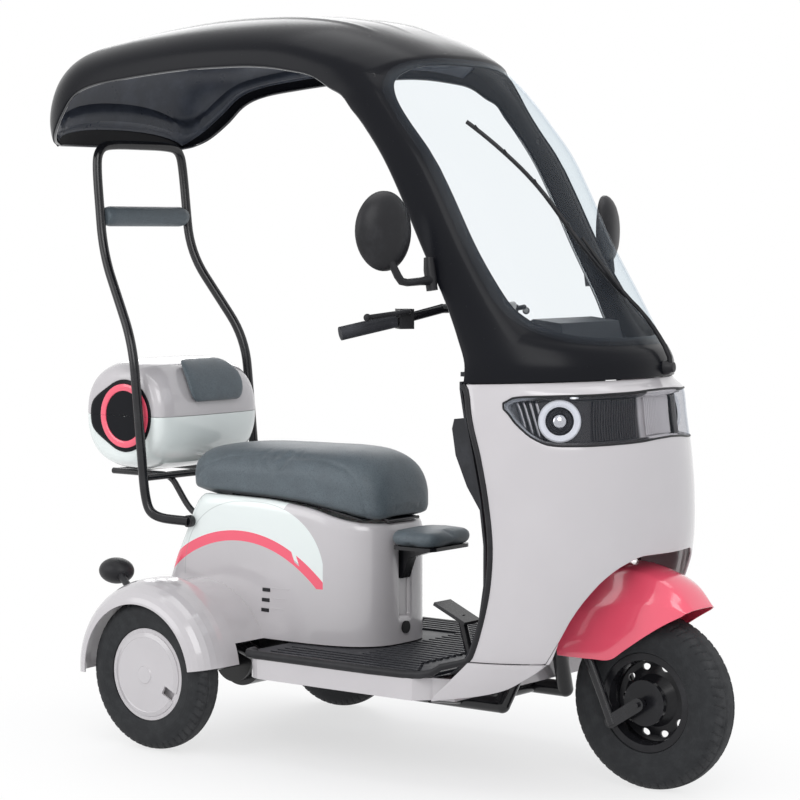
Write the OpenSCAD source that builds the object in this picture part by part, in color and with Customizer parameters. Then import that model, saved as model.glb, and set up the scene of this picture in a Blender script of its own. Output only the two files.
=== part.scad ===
// Electric tricycle with a canopy: one steered wheel in front, two driven wheels behind.
// X points forward, Y to the rider's left and Z up. The wheels stand on z = 0 and the
// origin lies under the middle of the length. Stations are measured from the rear axle.

/* [Overall] */
// Distance between the front and rear axles
wheelbase = 1196; // [1170:1:1220]
// Distance between the middles of the rear tyres
rear_track = 710; // [700:1:740]
// How far the roof reaches behind the rear axle
roof_tail = 475; // [460:1:500]
// Half width of the nose, screen and roof sides
body_half = 310; // [305:1:316]

/* [Wheels] */
// Radius of the front tyre
front_tyre_r = 200; // [194:1:204]
// Width of the front tyre
front_tyre_w = 92; // [80:1:94]
// Radius of the rear tyres
rear_tyre_r = 185; // [180:1:188]
// Width of the rear tyres
rear_tyre_w = 82; // [76:1:86]
// Radius of the rim under the tyre beads
rim_r = 106; // [102:1:110]
// Radius of the rim flanges
flange_r = 116; // [113:1:120]
// Radius of the rear hub caps
cap_r = 102; // [90:1:104]
// Radius of the front axle
axle_r = 6; // [5:0.5:8]
// Number of holes in the front wheel disc
rim_holes = 10; // [6:1:12]

/* [Steering] */
// Angle of the steering axis from the vertical, in degrees
rake = 24; // [22:0.5:26]
// How far the steering axis passes behind the front axle
axis_set_back = 76; // [70:1:82]
// Distance of each fork leg from the middle
leg_y = 64; // [62:0.5:66]
// Radius of the fork legs
leg_r = 11.5; // [10:0.5:12.5]
// Radius of the steering column
stem_r = 15; // [13:0.5:16]
// Running clearance of the column in the head tube
stem_fit = 1; // [0.6:0.1:1.5]
// Wall of the head tube
head_wall = 7; // [5:0.5:9]
// Radius of the handlebar tube
bar_r = 11; // [10:0.5:12.5]
// Radius of the handlebar grips
grip_r = 16; // [14:0.5:18]

/* [Body] */
// Thickness of the moulded panels
panel_t = 5; // [4:0.5:6]
// Thickness of the windscreen
glass_t = 4; // [3:0.5:5]
// Half width of the footboard
floor_half = 335; // [325:1:345]
// Height of the footboard's top
floor_z = 250; // [245:1:256]
// Depth of the footboard's side skirts
skirt_h = 50; // [40:1:60]
// Thickness of the rubber mat
mat_t = 8; // [5:0.5:12]
// Half width of the seat base
base_half = 160; // [150:1:165]
// Station of the seat base's front face
base_front = 490; // [480:1:496]
// Wall of the seat base
base_wall = 8; // [6:0.5:12]

/* [Rear fenders] */
// Radius of the fender crown over the axle
fender_r = 226; // [222:1:236]
// Radius of the outer lip over the axle
lip_r = 171; // [166:1:178]
// Wall of the rear fenders
fender_t = 4; // [3:0.5:6]

/* [Roll bar and pod] */
// Radius of the roll bar tube
roll_r = 12; // [10:0.5:13]
// Distance of the roll bar posts from the middle, beside the pod
roll_y = 214; // [211:1:222]
// Half length of the pod, across the vehicle
pod_half = 189; // [180:1:190]
// Half depth of the pod, along the vehicle
pod_depth = 148; // [135:1:150]
// Half height of the pod
pod_height = 143; // [130:1:146]
// Wall of the pod
pod_wall = 5; // [4:0.5:8]
// Gap between the pod's lid and its lower half
pod_gap = 1; // [0.6:0.1:2]

/* [Hidden] */
$fn = 32;
e = 0.01;

// Frame: x of the rear axle, so that the origin lies under the middle of the length
rear_x = (roof_tail - wheelbase - front_tyre_r) / 2;
function st(s) = rear_x + s;
front_s = wheelbase;
steer_s = front_s - axis_set_back;
hub_x = axis_set_back * cos(rake);
hub_z = -axis_set_back * sin(rake);

// Columns: side station, side height, middle station, middle height, half width over
// body_half, fullness of the curve, and the angle at which the panel ends
canopy_rows = [
    [851, 918, 1188, 930, 2, 2.0, 83],
    [847, 965, 1185, 968, 2, 2.0, 82],
    [816, 1018, 1151, 1020, 1, 2.0, 80],
    [792, 1062, 1123, 1062, 0, 2.0, 79],
    [764, 1110, 1092, 1110, 0, 2.0, 78],
    [694, 1220, 1022, 1220, 0, 2.0, 76.5],
    [626, 1345, 954, 1346, 0, 2.0, 76],
    [576, 1425, 902, 1430, 0, 2.05, 76],
    [524, 1490, 828, 1512, 0, 2.15, 76],
    [500, 1528, 777, 1562, 0, 2.25, 78],
    [490, 1555, 727, 1605, 0, 2.35, 80],
    [470, 1574, 690, 1636, 0, 2.4, 83],
    [440, 1603, 640, 1672, 1, 2.45, 86],
    [400, 1622, 560, 1712, 3, 2.5, 89],
    [300, 1640, 457, 1745, 6, 2.6, 90],
    [188, 1643, 300, 1765, 10, 2.6, 90],
    [50, 1640, 101, 1768, 13, 2.6, 90],
    [-110, 1628, -80, 1756, 15, 2.6, 90],
    [-230, 1614, -230, 1738, 15, 2.6, 90],
    [-300, 1590, -330, 1722, 12, 2.6, 90],
    [-350, 1545, -405, 1695, 2, 2.5, 90],
    [-395, 1505, -450, 1650, -20, 2.4, 90],
    [-425, 1485, -472, 1590, -48, 2.3, 90],
    [-442, 1477, -475, 1520, -75, 2.2, 90],
    [-447, 1474, -472, 1476, -85, 2.2, 90]];
tail_row = len(canopy_rows) - 1;
// First and last rows of the screen opening, and half its angle at each of its rows
open_first = 2;
open_last = 10;
open_angles = [30, 46, 52, 54, 54, 53, 51, 46, 34];
side_open_angle = 54;
open_cols = 4;

function lerp(a, b, t) = a + (b - a) * t;
function clamp(x, a, b) = min(max(x, a), b);
function row_at(rows, v) = let (i = min(floor(v), len(rows) - 2)) lerp(rows[i], rows[i + 1], v - i);
// The roof's tail follows roof_tail while the screen keeps its place
function tail_shift(s) = s < 0 ? (475 - roof_tail) * s / -475 : 0;
function row_point(row, a) = let (k = 2 / row[5], f = pow(max(cos(a), 0), k),
        g = sign(sin(a)) * pow(abs(sin(a)), k), s = lerp(row[0], row[2], f))
    [st(s + tail_shift(s)), (body_half + row[4]) * g, lerp(row[1], row[3], f)];

// Unit normal that points outwards, from a grid of points
function unit(v) = v / max(norm(v), 1e-6);
function grid_normal(p, i, j) = let (n = len(p) - 1, m = len(p[0]) - 1,
        up = p[min(i + 1, n)][j] - p[max(i - 1, 0)][j], across = p[i][min(j + 1, m)] - p[i][max(j - 1, 0)])
    unit(cross(across, up));
function grid_offset(p, d) = [for (i = [0 : len(p) - 1]) [for (j = [0 : len(p[0]) - 1])
    p[i][j] + d * grid_normal(p, i, j)]];

// Closed panel between two grids of points; a cell stays open where keep is 0
module panel(outer, inner, keep) {
    n = len(outer);
    m = len(outer[0]);
    o = function(i, j) i * m + j;
    u = function(i, j) n * m + i * m + j;
    has = function(i, j) i >= 0 && j >= 0 && i < n - 1 && j < m - 1 && keep[i][j] != 0;
    wall = function(a, b, c, d) [[b, a, c], [b, c, d]];
    cells = [for (i = [0 : n - 2]) for (j = [0 : m - 2]) if (has(i, j)) [i, j]];
    faces = [for (c = cells) let (i = c[0], j = c[1]) each concat(
        [[o(i, j), o(i + 1, j), o(i + 1, j + 1)], [o(i, j), o(i + 1, j + 1), o(i, j + 1)],
         [u(i, j), u(i + 1, j + 1), u(i + 1, j)], [u(i, j), u(i, j + 1), u(i + 1, j + 1)]],
        has(i, j - 1) ? [] : wall(o(i, j), o(i + 1, j), u(i, j), u(i + 1, j)),
        has(i + 1, j) ? [] : wall(o(i + 1, j), o(i + 1, j + 1), u(i + 1, j), u(i + 1, j + 1)),
        has(i, j + 1) ? [] : wall(o(i + 1, j + 1), o(i, j + 1), u(i + 1, j + 1), u(i, j + 1)),
        has(i - 1, j) ? [] : wall(o(i, j + 1), o(i, j), u(i, j + 1), u(i, j)))];
    polyhedron(concat([for (r = outer) each r], [for (r = inner) each r]), faces, convexity = 8);
}
function all_cells(p) = [for (i = [0 : len(p) - 2]) [for (j = [0 : len(p[0]) - 2]) 1]];
module skin(points, t) {
    panel(points, grid_offset(points, -t), all_cells(points));
}

// Round bar between two points, and a bent tube with ball joints at its bends
bend_lip = 0.3;
module bar(a, b, r) {
    d = b - a;
    translate(a)
        rotate([0, acos(d[2] / norm(d)), atan2(d[1], d[0])])
            cylinder(r = r, h = norm(d));
}
module bent_tube(path, r) {
    for (i = [0 : len(path) - 2])
        bar(path[i], path[i + 1], r);
    for (i = [1 : len(path) - 2])
        translate(path[i])
            sphere(r = r + bend_lip);
}
module both_sides() {
    children();
    mirror([0, 1, 0])
        children();
}
// Solid of one side outline, s and z, drawn across the vehicle
module across(half, points) {
    translate([rear_x, half, 0])
        rotate([90, 0, 0])
            linear_extrude(2 * half)
                polygon(points);
}
module at_steering() {
    translate([st(steer_s), 0, front_tyre_r])
        rotate([0, -rake, 0])
            children();
}
// Turned about the axle line at station s, height z and side position y
module turned(s, y, z) {
    translate([st(s), y, z])
        rotate([90, 0, 0])
            rotate_extrude($fn = 96)
                children();
}

// Nose: the shell between the joint under the screen and the arch over the wheel.
// Columns: height, side station, middle station, half width over body_half, edge angle
nose_rows = [
    [925, 851, 1188, 3, 83],
    [900, 856, 1222, 6, 82],
    [840, 868, 1230, 10, 82],
    [760, 878, 1242, 12, 80],
    [670, 892, 1250, 12, 79],
    [565, 900, 1249, 12, 78],
    [470, 896, 1232, 11, 78],
    [390, 886, 1206, 10, 79],
    [310, 862, 1174, 7, 80],
    [257, 815, 1140, 4, 82],
    [200, 760, 1088, -2, 83]];
function nose_row(z, i = 0) = i >= len(nose_rows) - 2 || z >= nose_rows[i + 1][0]
    ? lerp(nose_rows[i], nose_rows[i + 1], (nose_rows[i][0] - z) / (nose_rows[i][0] - nose_rows[i + 1][0]))
    : nose_row(z, i + 1);
function nose_point(z, u) = let (r = nose_row(z), a = u * r[4])
    [st(lerp(r[1], r[2], cos(a))), (body_half + r[3]) * sin(a), z];
seam_z = 300;
seam_gap = 1.6;
joint_gap = 1.2;
function joint_z(u) = lerp(canopy_rows[0][1], canopy_rows[0][3], cos(u * canopy_rows[0][6])) - joint_gap;
// Columns: share of the edge angle, lower edge of the nose there, lamp's lower and upper edge
nose_cols = [
    [-1, 300, 868, 876], [-0.93, 300, 866, 878], [-0.85, 300, 862, 884], [-0.8, 300, 833, 893],
    [-0.74, 300, 803, 895], [-0.67, 300, 788, 896], [-0.61, 300, 786, 897], [-0.57, 385, 786, 898],
    [-0.52, 442, 786, 898], [-0.44, 490, 787, 899], [-0.34, 522, 789, 901], [-0.22, 540, 792, 903],
    [-0.1, 541, 797, 906], [0, 541, 799, 907]];
nose_table = concat(nose_cols, [for (i = [len(nose_cols) - 2 : -1 : 0])
    [-nose_cols[i][0], nose_cols[i][1], nose_cols[i][2], nose_cols[i][3]]]);
nose_steps = 5;
lamp_col = 2;
function nose_levels(c) = concat([for (k = [0 : nose_steps]) lerp(c[1], c[2], k / nose_steps)],
    [c[3], lerp(c[3], joint_z(c[0]), 0.5), joint_z(c[0])]);
function nose_grid() = [for (k = [0 : nose_steps + 3]) [for (c = nose_table)
    nose_point(nose_levels(c)[k], c[0])]];
lamp_last = len(nose_table) - 2 - lamp_col;

module front_shell() {
    p = nose_grid();
    keep = [for (i = [0 : len(p) - 2]) [for (j = [0 : len(p[0]) - 2])
        i == nose_steps && j >= lamp_col && j <= lamp_last ? 0 : 1]];
    color("#cfc6c6") panel(p, grid_offset(p, -panel_t), keep);
}

// Lower lip of the nose, from the seam down to the footboard
lip_cols = [[-1, 200], [-0.9, 211], [-0.8, 221], [-0.7, 239], [-0.65, 266], [-0.6, 292]];
module lower_nose() {
    p = [for (k = [0 : 3]) [for (c = lip_cols) nose_point(lerp(c[1], seam_z - seam_gap, k / 3), c[0])]];
    color("#cfc6c6") both_sides() skin(p, panel_t);
}

// Black edge strip along the rear edges of the nose
module shell_trim() {
    lip = lip_cols[0][1];
    levels = concat([joint_z(1) - 1], [for (k = [nose_steps : -1 : 0]) nose_levels(nose_table[0])[k]],
        [for (t = [2 / 3, 0.64]) lerp(lip, seam_z - seam_gap, t)], [floor_z + mat_t + 1]);
    side = [for (z = levels) let (p = nose_point(z, 1)) [p[0] - rear_x, z]];
    edge = nose_point(500, 1)[1];
    color("#15161a") both_sides()
        translate([rear_x, edge + 2, 0])
            rotate([90, 0, 0])
                linear_extrude(14)
                    polygon(concat([for (p = side) p + [-2.6, 0]],
                        [for (i = [len(side) - 1 : -1 : 0]) side[i] + [-9, 0]]));
}

// Inner panel behind the nose, with the bulge that hides the steering column
shield_t = 6;
shield_half = 292;
bulge_half = 225;
shield_line = [[800, 252], [845, 262], [880, 290], [905, 335], [925, 390], [938, 470], [938, 560],
    [925, 660], [905, 750], [884, 840], [872, 905], [872, 922]];
spine_half = 100;
spine_line = [[826, 260], [848, 282], [860, 330], [878, 390], [890, 430], [900, 480], [920, 560], [940, 560],
    [940, 480], [930, 380], [900, 300], [860, 270]];
bulge_line = [[938, 480], [920, 560], [880, 620], [838, 680], [806, 750], [796, 810], [802, 832],
    [884, 842]];
module leg_shield() {
    line = shield_line;
    back = [for (i = [len(line) - 1 : -1 : 0]) line[i] - [shield_t, 0]];
    color("#1b1c20") difference() {
        union() {
            across(shield_half, concat(line, back));
            across(bulge_half, concat(bulge_line, [[906, 750], [926, 660], [939, 560]]));
            across(spine_half, spine_line);
        }
        across(spine_half - shield_t, [[858, 276], [866, 330], [884, 390], [896, 430], [907, 480], [927, 560],
            [960, 560], [960, 276]]);
        across(bulge_half - shield_t, concat([for (p = bulge_line) p + [7, p[1] > 830 ? -8 : 0]],
            [[960, 835], [960, 480]]));
        at_steering()
            translate([0, 0, 500])
                cylinder(r = stem_r + 16, h = 400);
    }
}

// Shelf and instrument hood under the screen
dash_z = 934;
dash_t = 10;
dash_half = body_half - 11.6;
dash_reach = 325.5;
module dash() {
    color("#1b1c20") {
        intersection() {
            translate([st(853), 0, dash_z])
                scale([dash_reach / dash_half, 1, 1])
                    cylinder(r = dash_half, h = dash_t, $fn = 96);
            translate([st(873), -400, dash_z - 50])
                cube([400, 800, 100]);
        }
        difference() {
            across(120, [[900, dash_z + dash_t - e], [915, 1040], [945, 1058], [1020, 1050],
                [1048, dash_z + dash_t - e]]);
            translate([st(893), -105, 1000])
                rotate([0, 25, 0])
                    cube([14, 210, 46]);
        }
    }
}

// Head lamp band: a dark tray, a clear lens and two ring lamps
function lamp_cols(inset) = [for (j = [lamp_col : len(nose_table) - 1 - lamp_col]) let (c = nose_table[j])
    [c[0] * (1 - inset * 0.0022), c[2] + inset * 0.4, c[3] - inset * 0.4]];
function lamp_grid(inset, k = 2) = [for (i = [0 : k]) [for (c = lamp_cols(inset))
    nose_point(lerp(c[1], c[2], i / k), c[0])]];
lamp_depth = 34;
module lamp_housing() {
    p = lamp_grid(0);
    q = lamp_grid(6);
    color("#202226") difference() {
        panel(grid_offset(p, -panel_t - 0.8), grid_offset(p, -lamp_depth - 4), all_cells(p));
        panel(grid_offset(q, 2), grid_offset(q, -lamp_depth), all_cells(q));
    }
}
module lamp_lens() {
    p = lamp_grid(1.2);
    color("#8a94a0") panel(grid_offset(p, -0.6), grid_offset(p, -4), all_cells(p));
}
ring_r = 48;
ring_angle = 49.5;
ring_z = 842;
ring_tilt = 5;
module lamp_rings() {
    r = nose_row(ring_z);
    turn = atan(tan(ring_angle) * (r[2] - r[1]) / (body_half + r[3]));
    color("#f4f6f8") for (side = [-1, 1])
        translate([st(lerp(r[1], r[2], cos(ring_angle))), side * (body_half + r[3]) * sin(ring_angle), ring_z])
            rotate([0, 90 - ring_tilt, side * turn])
                translate([0, 0, 0.7 - lamp_depth]) {
                    difference() {
                        cylinder(r = ring_r - 1, h = lamp_depth - 15);
                        translate([0, 0, -e])
                            cylinder(r = ring_r - 14, h = lamp_depth);
                    }
                    cylinder(r = ring_r - 12, h = 6);
                    intersection() {
                        cylinder(r = 20, h = lamp_depth - 12);
                        sphere(r = lamp_depth - 12);
                    }
                }
}

// Angles of the canopy's columns in one row: pillar, opening, pillar
function open_angle(v) = let (k = clamp(v - open_first, 0, open_last - open_first), i = min(floor(k),
        open_last - open_first - 1)) lerp(open_angles[i], open_angles[i + 1], k - i);
function canopy_angles(v) = let (edge = row_at(canopy_rows, v)[6], far = max(open_first - v, v - open_last, 0),
        a = lerp(open_angle(v), side_open_angle, min(far / 3, 1)),
        half = concat([-edge, -(edge * 0.67 + a * 0.33), -(edge * 0.33 + a * 0.67)],
            [for (j = [0 : open_cols]) -a * (1 - j / open_cols)]))
    concat(half, [for (j = [len(half) - 2 : -1 : 0]) -half[j]]);
module canopy() {
    p = [for (i = [0 : tail_row]) [for (a = canopy_angles(i)) row_point(canopy_rows[i], a)]];
    m = len(p[0]) - 1;
    keep = [for (i = [0 : tail_row - 1]) [for (j = [0 : m - 1])
        i >= open_first && i < open_last && j > 2 && j < m - 3 ? 0 : 1]];
    color("#17181c") {
        panel(p, grid_offset(p, -panel_t), keep);
        for (y = rib_places)
            roof_rib(y);
    }
}

// Raised ribs along the roof's top: a strip that rises out of the panel and sinks back
rib_places = [-165, -55, 55, 165];
rib_rows = [13.2, 19.4];
rib_half = 13;
rib_rise = 5;
function rib_point(v, y) = let (r = row_at(canopy_rows, v))
    row_point(r, asin(pow(abs(y) / (body_half + r[4]), r[5] / 2)) * sign(y));
module roof_rib(y) {
    p = [for (k = [0 : 10]) [for (w = [-rib_half : rib_half : rib_half])
        rib_point(lerp(rib_rows[0], rib_rows[1], k / 10), y + w)]];
    top = [for (k = [0 : 10]) [for (j = [0 : 2])
        p[k][j] + [0, 0, (j == 1 ? rib_rise : 0) * sin(18 * k) - 0.8]]];
    panel(top, [for (r = p) [for (q = r) q - [0, 0, panel_t - 1]]], all_cells(p));
}

// Screen: follows the canopy's rows and laps over the edge of its opening
screen_lap = 5.5;
glass_gap = 1.4;
module windshield() {
    p = [for (v = [open_first - 0.7 : 0.65 : open_last + 0.5]) let (a = lerp(open_angle(v), 54, 0.25) + screen_lap)
        [for (k = [-8 : 8]) row_point(row_at(canopy_rows, v), a * k / 8)]];
    color("#9fb4c4") panel(grid_offset(p, glass_gap + glass_t), grid_offset(p, glass_gap), all_cells(p));
}

// Inner lining of the roof
liner_first = 13.4;
module roof_liner() {
    p = grid_offset([for (v = [liner_first : 1 : tail_row - 3.4]) let (r = row_at(canopy_rows, v))
        [for (a = [-66 : 11 : 66]) row_point(r, a)]], -panel_t - 16);
    color("#24262d") {
        skin(p, 3);
        for (v = [liner_first + 1, tail_row - 6], a = [-33, 33])
            let (q = row_point(row_at(canopy_rows, v), a))
                translate(q - [0, 0, panel_t + 18])
                    cylinder(r = 9, h = 14);
    }
}

// Wiper: spindle, arm and blade in front of the screen
function screen_point(v, a, d) = let (r = row_at(canopy_rows, v), p = row_point(r, a),
        du = row_point(row_at(canopy_rows, v + 0.1), a) - p, da = row_point(r, a + 1) - p)
    p + d * unit(cross(da, du));
module wiper() {
    pivot = screen_point(0.8, 16, 18);
    elbow = screen_point(3.4, 0, 26);
    clip = screen_point(5.8, -13, 22);
    color("#111216") {
        bar(screen_point(0.8, 16, 0), screen_point(0.8, 16, 26), 12);
        bent_tube([pivot, elbow, clip], 4.5);
        bent_tube([for (k = [0 : 4]) screen_point(lerp(4.1, 8.2, k / 4), lerp(2, -34, k / 4), 11.5)], 4.5);
        bar(clip, screen_point(5.8, -13, 12), 6.5);
    }
}

// Mirrors: bracket on the pillar, arm and a bulged head
mirror_y = body_half + 130;
mirror_z = 1256;
mirror_s = 770;
arm_z = 1143;
bracket_y = body_half + 8;
// Bulged back over a flat glass: rings from the rim to the crown of the back
head_rings = [[-9, 0.93], [-9, 0.96], [-4, 1], [6, 0.97], [17, 0.84], [26, 0.6], [31, 0.3]];
module mirror_head() {
    loft([for (r = head_rings) [for (a = [0 : 15 : 345]) [r[0], -70 * r[1] * cos(a), 88 * r[1] * sin(a)]]]);
}
module mirrors() {
    color("#121317") both_sides() {
        bar([st(800), bracket_y, 1195], [st(812), bracket_y, 1125], 15);
        bent_tube([[st(808), bracket_y, arm_z + 4], [st(806), mirror_y - 16, arm_z],
            [st(796), mirror_y - 8, arm_z + 40]], 9);
        translate([st(mirror_s + 14), mirror_y, mirror_z])
            rotate([0, 0, 20])
                mirror_head();
        bar([st(796), mirror_y - 8, arm_z + 36], [st(mirror_s + 18), mirror_y, mirror_z - 50], 9);
    }
}

// Footboard: plate with skirts and rounded ends, open below
floor_rear = 257;
floor_front = 850;
end_r = 60;
module floor_plan(half, inset) {
    neck = [[765, half], [797, 299]];
    nose = [[780, 299], [797, 299], [floor_front, 286]];
    hull() {
        for (y = [-1, 1])
            translate([floor_rear + end_r, y * (half - end_r)])
                circle(r = end_r - inset);
        polygon([for (side = [1, -1], c = neck) [c[0] - inset, side * (c[1] - inset)]]);
    }
    polygon([for (c = nose) [c[0] - inset, c[1] - inset], for (k = [2 : -1 : 0]) [nose[k][0] - inset, inset - nose[k][1]]]);
}
plate_t = 8;
module footboard() {
    color("#cfc6c6") difference() {
        translate([rear_x, 0, floor_z - skirt_h])
            linear_extrude(skirt_h)
                floor_plan(floor_half, 0);
        translate([rear_x, 0, floor_z - skirt_h - e])
            linear_extrude(skirt_h - plate_t)
                floor_plan(floor_half, panel_t);
    }
}
rib_pitch = 26;
rib_w = 12;
module floor_mat() {
    color("#26272c") {
        translate([rear_x, 0, floor_z])
            linear_extrude(mat_t)
                difference() {
                    floor_plan(floor_half - 2, 0);
                    translate([shield_line[0][0] - shield_t - 2, -floor_half])
                        square([80, 2 * floor_half]);
                }
        for (side = [-1, 1], k = [0 : 4])
            translate([st(floor_rear + 55), side * (floor_half - 22 - k * rib_pitch) - rib_w / 2, floor_z + mat_t - e])
                cube([floor_front - floor_rear - 140 - k * 16, rib_w, 5]);
    }
}

// Seat base: rounded in front, sloped behind, open under the saddle
base_line = [[-150, 262], [base_front, 262], [base_front, 556], [430, 563], [300, 592], [160, 604],
    [-30, 606], [-66, 560], [-104, 500], [-132, 430], [-150, 360]];
base_corner = 118;
module base_plan(inset) {
    hull()
        for (y = [-1, 1]) {
            translate([base_front - base_corner, y * (base_half - base_corner)])
                circle(r = base_corner - inset, $fn = 72);
            translate([-150 + 40, y * (base_half - 40)])
                circle(r = 40 - inset);
        }
}
bin_s = [20, 400];
bin_z = 330;
groove_half = 24;
module seat_base() {
    color("#cfc6c6") difference() {
        intersection() {
            across(base_half + 10, base_line);
            translate([rear_x, 0, 200])
                linear_extrude(500)
                    base_plan(0);
        }
        translate([rear_x, 0, bin_z])
            linear_extrude(300)
                intersection() {
                    base_plan(base_wall);
                    translate([bin_s[0], -200])
                        square([bin_s[1] - bin_s[0], 400]);
                }
        translate([st(base_front - 10), -groove_half, 320])
            cube([20, 2 * groove_half, 180]);
        for (side = [-1, 1], k = [0 : 2])
            translate([st(vent_s[k]), side * base_half, vent_z[k]])
                cube([vent_w, 2 * vent_depth, vent_h], center = true);
    }
    color("#cfc6c6") for (side = [-1, 1])
        translate([st(saddle_hinge[0]), side * 67, saddle_hinge[1]]) {
            rotate([90, 0, 0])
                cylinder(r = hinge_r, h = 12, center = true);
            translate([-hinge_r, -6, -hinge_r - 6])
                cube([2 * hinge_r, 12, hinge_r + 6]);
        }
}
vent_s = [186, 184, 182];
vent_z = [382, 357, 332];
vent_w = 24;
vent_h = 9;
vent_depth = 5;
module side_vents() {
    color("#0d0e10") for (side = [-1, 1], k = [0 : 2])
        translate([st(vent_s[k]), side * (base_half - vent_depth + 1.5), vent_z[k]])
            cube([vent_w, 3, vent_h], center = true);
}
cap_z = 300;
module charge_cap() {
    color("#101114") translate([st(base_front), 0, cap_z])
        rotate([0, 90, 0])
            cylinder(r = 15, h = 5);
}

// Small seat in front of the saddle, on a bracket bolted in the groove of the seat base
step_s = [502, 636];
step_half = 90;
step_z = 544;
step_h = 36;
module rounded_slab(s, half, z, h, r) {
    translate([rear_x, 0, z])
        linear_extrude(h)
            hull()
                for (x = [s[0] + r, s[1] - r], y = [-1, 1])
                    translate([x, y * (half - r)])
                        circle(r = r);
}
module step_seat_bracket() {
    color("#17181c") {
        rounded_slab([step_s[0] + 6, step_s[1] - 6], step_half - 6, step_z - step_h - 9, 8.7, 24);
        across(16, [[base_front - 10, 420], [base_front + 2, 420], [base_front + 22, 470], [step_s[1] - 30, 499],
            [step_s[1] - 30, 500], [base_front - 10, 500]]);
    }
}
module step_seat() {
    color("#565d63") rounded_slab(step_s, step_half, step_z - step_h, step_h, 30);
}

// Brake pedal: a foot plate on an arm that comes up through the floor
module brake_pedal() {
    color("#131418") {
        translate([st(784), -166, floor_z + mat_t])
            cube([32, 32, 4]);
        bar([st(799), -150, floor_z + mat_t + 4], [st(768), -150, 372], 10);
        translate([st(756), -150, 378])
            rotate([0, 24, 0])
                cube([96, 64, 8], center = true);
    }
}

// Chassis: two rails, crossbars, seat posts, down tube and head tube
rail_y = 130;
rail_z = 172;
tail_z = 241;
rail_r = 19;
head_z = [300, 560];
module chassis() {
    color("#1a1b1f") {
        for (side = [-1, 1]) {
            bent_tube([[st(-150), side * rail_y, tail_z], [st(70), side * rail_y, tail_z - 8],
                [st(250), side * rail_y, rail_z], [st(870), side * rail_y, rail_z],
                [st(895), side * 60, 300]], rail_r);
            for (s = [-60, 90])
                bar([st(s), side * rail_y, tail_z - 10], [st(s), side * rail_y, base_line[0][1]], 14);
            for (s = s_outer)
                bar([st(s), side * 270, rail_z + 28], [st(s), side * 270, floor_z - plate_t - 0.1], 10);
            for (s = [300, 560, 760])
                bar([st(s), side * rail_y, rail_z], [st(s), side * 270, rail_z + 28], 12);
            bar([st(s_outer[0]), side * 270, rail_z + 28], [st(s_outer[1]), side * 270, rail_z + 28], 14);
        }
        for (c = [[-125, tail_z], [250, rail_z], [780, rail_z]])
            bar([st(c[0]), -rail_y, c[1]], [st(c[0]), rail_y, c[1]], 16);
        head_low = head_z[0];
        difference() {
            union() {
                bar([st(895), -82, 300], [st(895), 82, 300], rail_r + 3);
                bar([st(895), 0, 300], steer_point(head_low + 90), 16);
                at_steering()
                    translate([0, 0, head_low])
                        cylinder(r = stem_r + stem_fit + head_wall, h = head_z[1] - head_low);
            }
            at_steering()
                translate([0, 0, head_low - 20])
                    cylinder(r = stem_r + stem_fit, h = head_z[1] - head_low + 40);
        }
    }
}
s_outer = [290, 770];
function steer_point(h) = [st(steer_s) - h * sin(rake), 0, front_tyre_r + h * cos(rake)];

// Rear axle beam with the motor case in its middle
beam_r = 24;
beam_end = rear_track / 2 - 46;
module rear_axle() {
    color("#1c1d21") translate([st(0), 0, rear_tyre_r])
        rotate([90, 0, 0]) {
            cylinder(r = beam_r, h = 2 * beam_end, center = true);
            cylinder(r = 75, h = 92, center = true);
            cylinder(r = 62, h = 150, center = true);
            for (side = [-1, 1]) {
                translate([0, 0, side * (beam_end - 6)])
                    cylinder(r = 70, h = 12, center = true);
                translate([0, 0, side * (rear_track / 2 - 10)])
                    cylinder(r = 9, h = 80, center = true);
            }
        }
}
shock_y = 196;
shock_z = 376;
module rear_shocks() {
    color("#2a2b30") for (side = [-1, 1]) {
        bar([st(0), side * shock_y, rear_tyre_r + beam_r + 1], [st(-30), side * shock_y, shock_z], 9);
        for (k = [0 : 6])
            translate([st(-4 - k * 3.1), side * shock_y, rear_tyre_r + beam_r + 22 + k * 20])
                rotate_extrude()
                    translate([20, 0])
                        circle(r = 4, $fn = 16);
        for (t = [0.08, 0.95])
            translate(lerp([st(0), side * shock_y, rear_tyre_r + beam_r - 2], [st(-30), side * shock_y, shock_z], t))
                cylinder(r = 25, h = 5);
        bar([st(-30), side * base_half, shock_z - 6], [st(-30), side * (shock_y + 8), shock_z - 6], 9);
    }
}
// Battery box, low between the rails
battery_s = [270, 640];
module battery() {
    color("#2c2e34") translate([st(battery_s[0]), -105, rail_z - 22])
        cube([battery_s[1] - battery_s[0], 210, floor_z - plate_t - rail_z + 22 - 0.5]);
}

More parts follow.
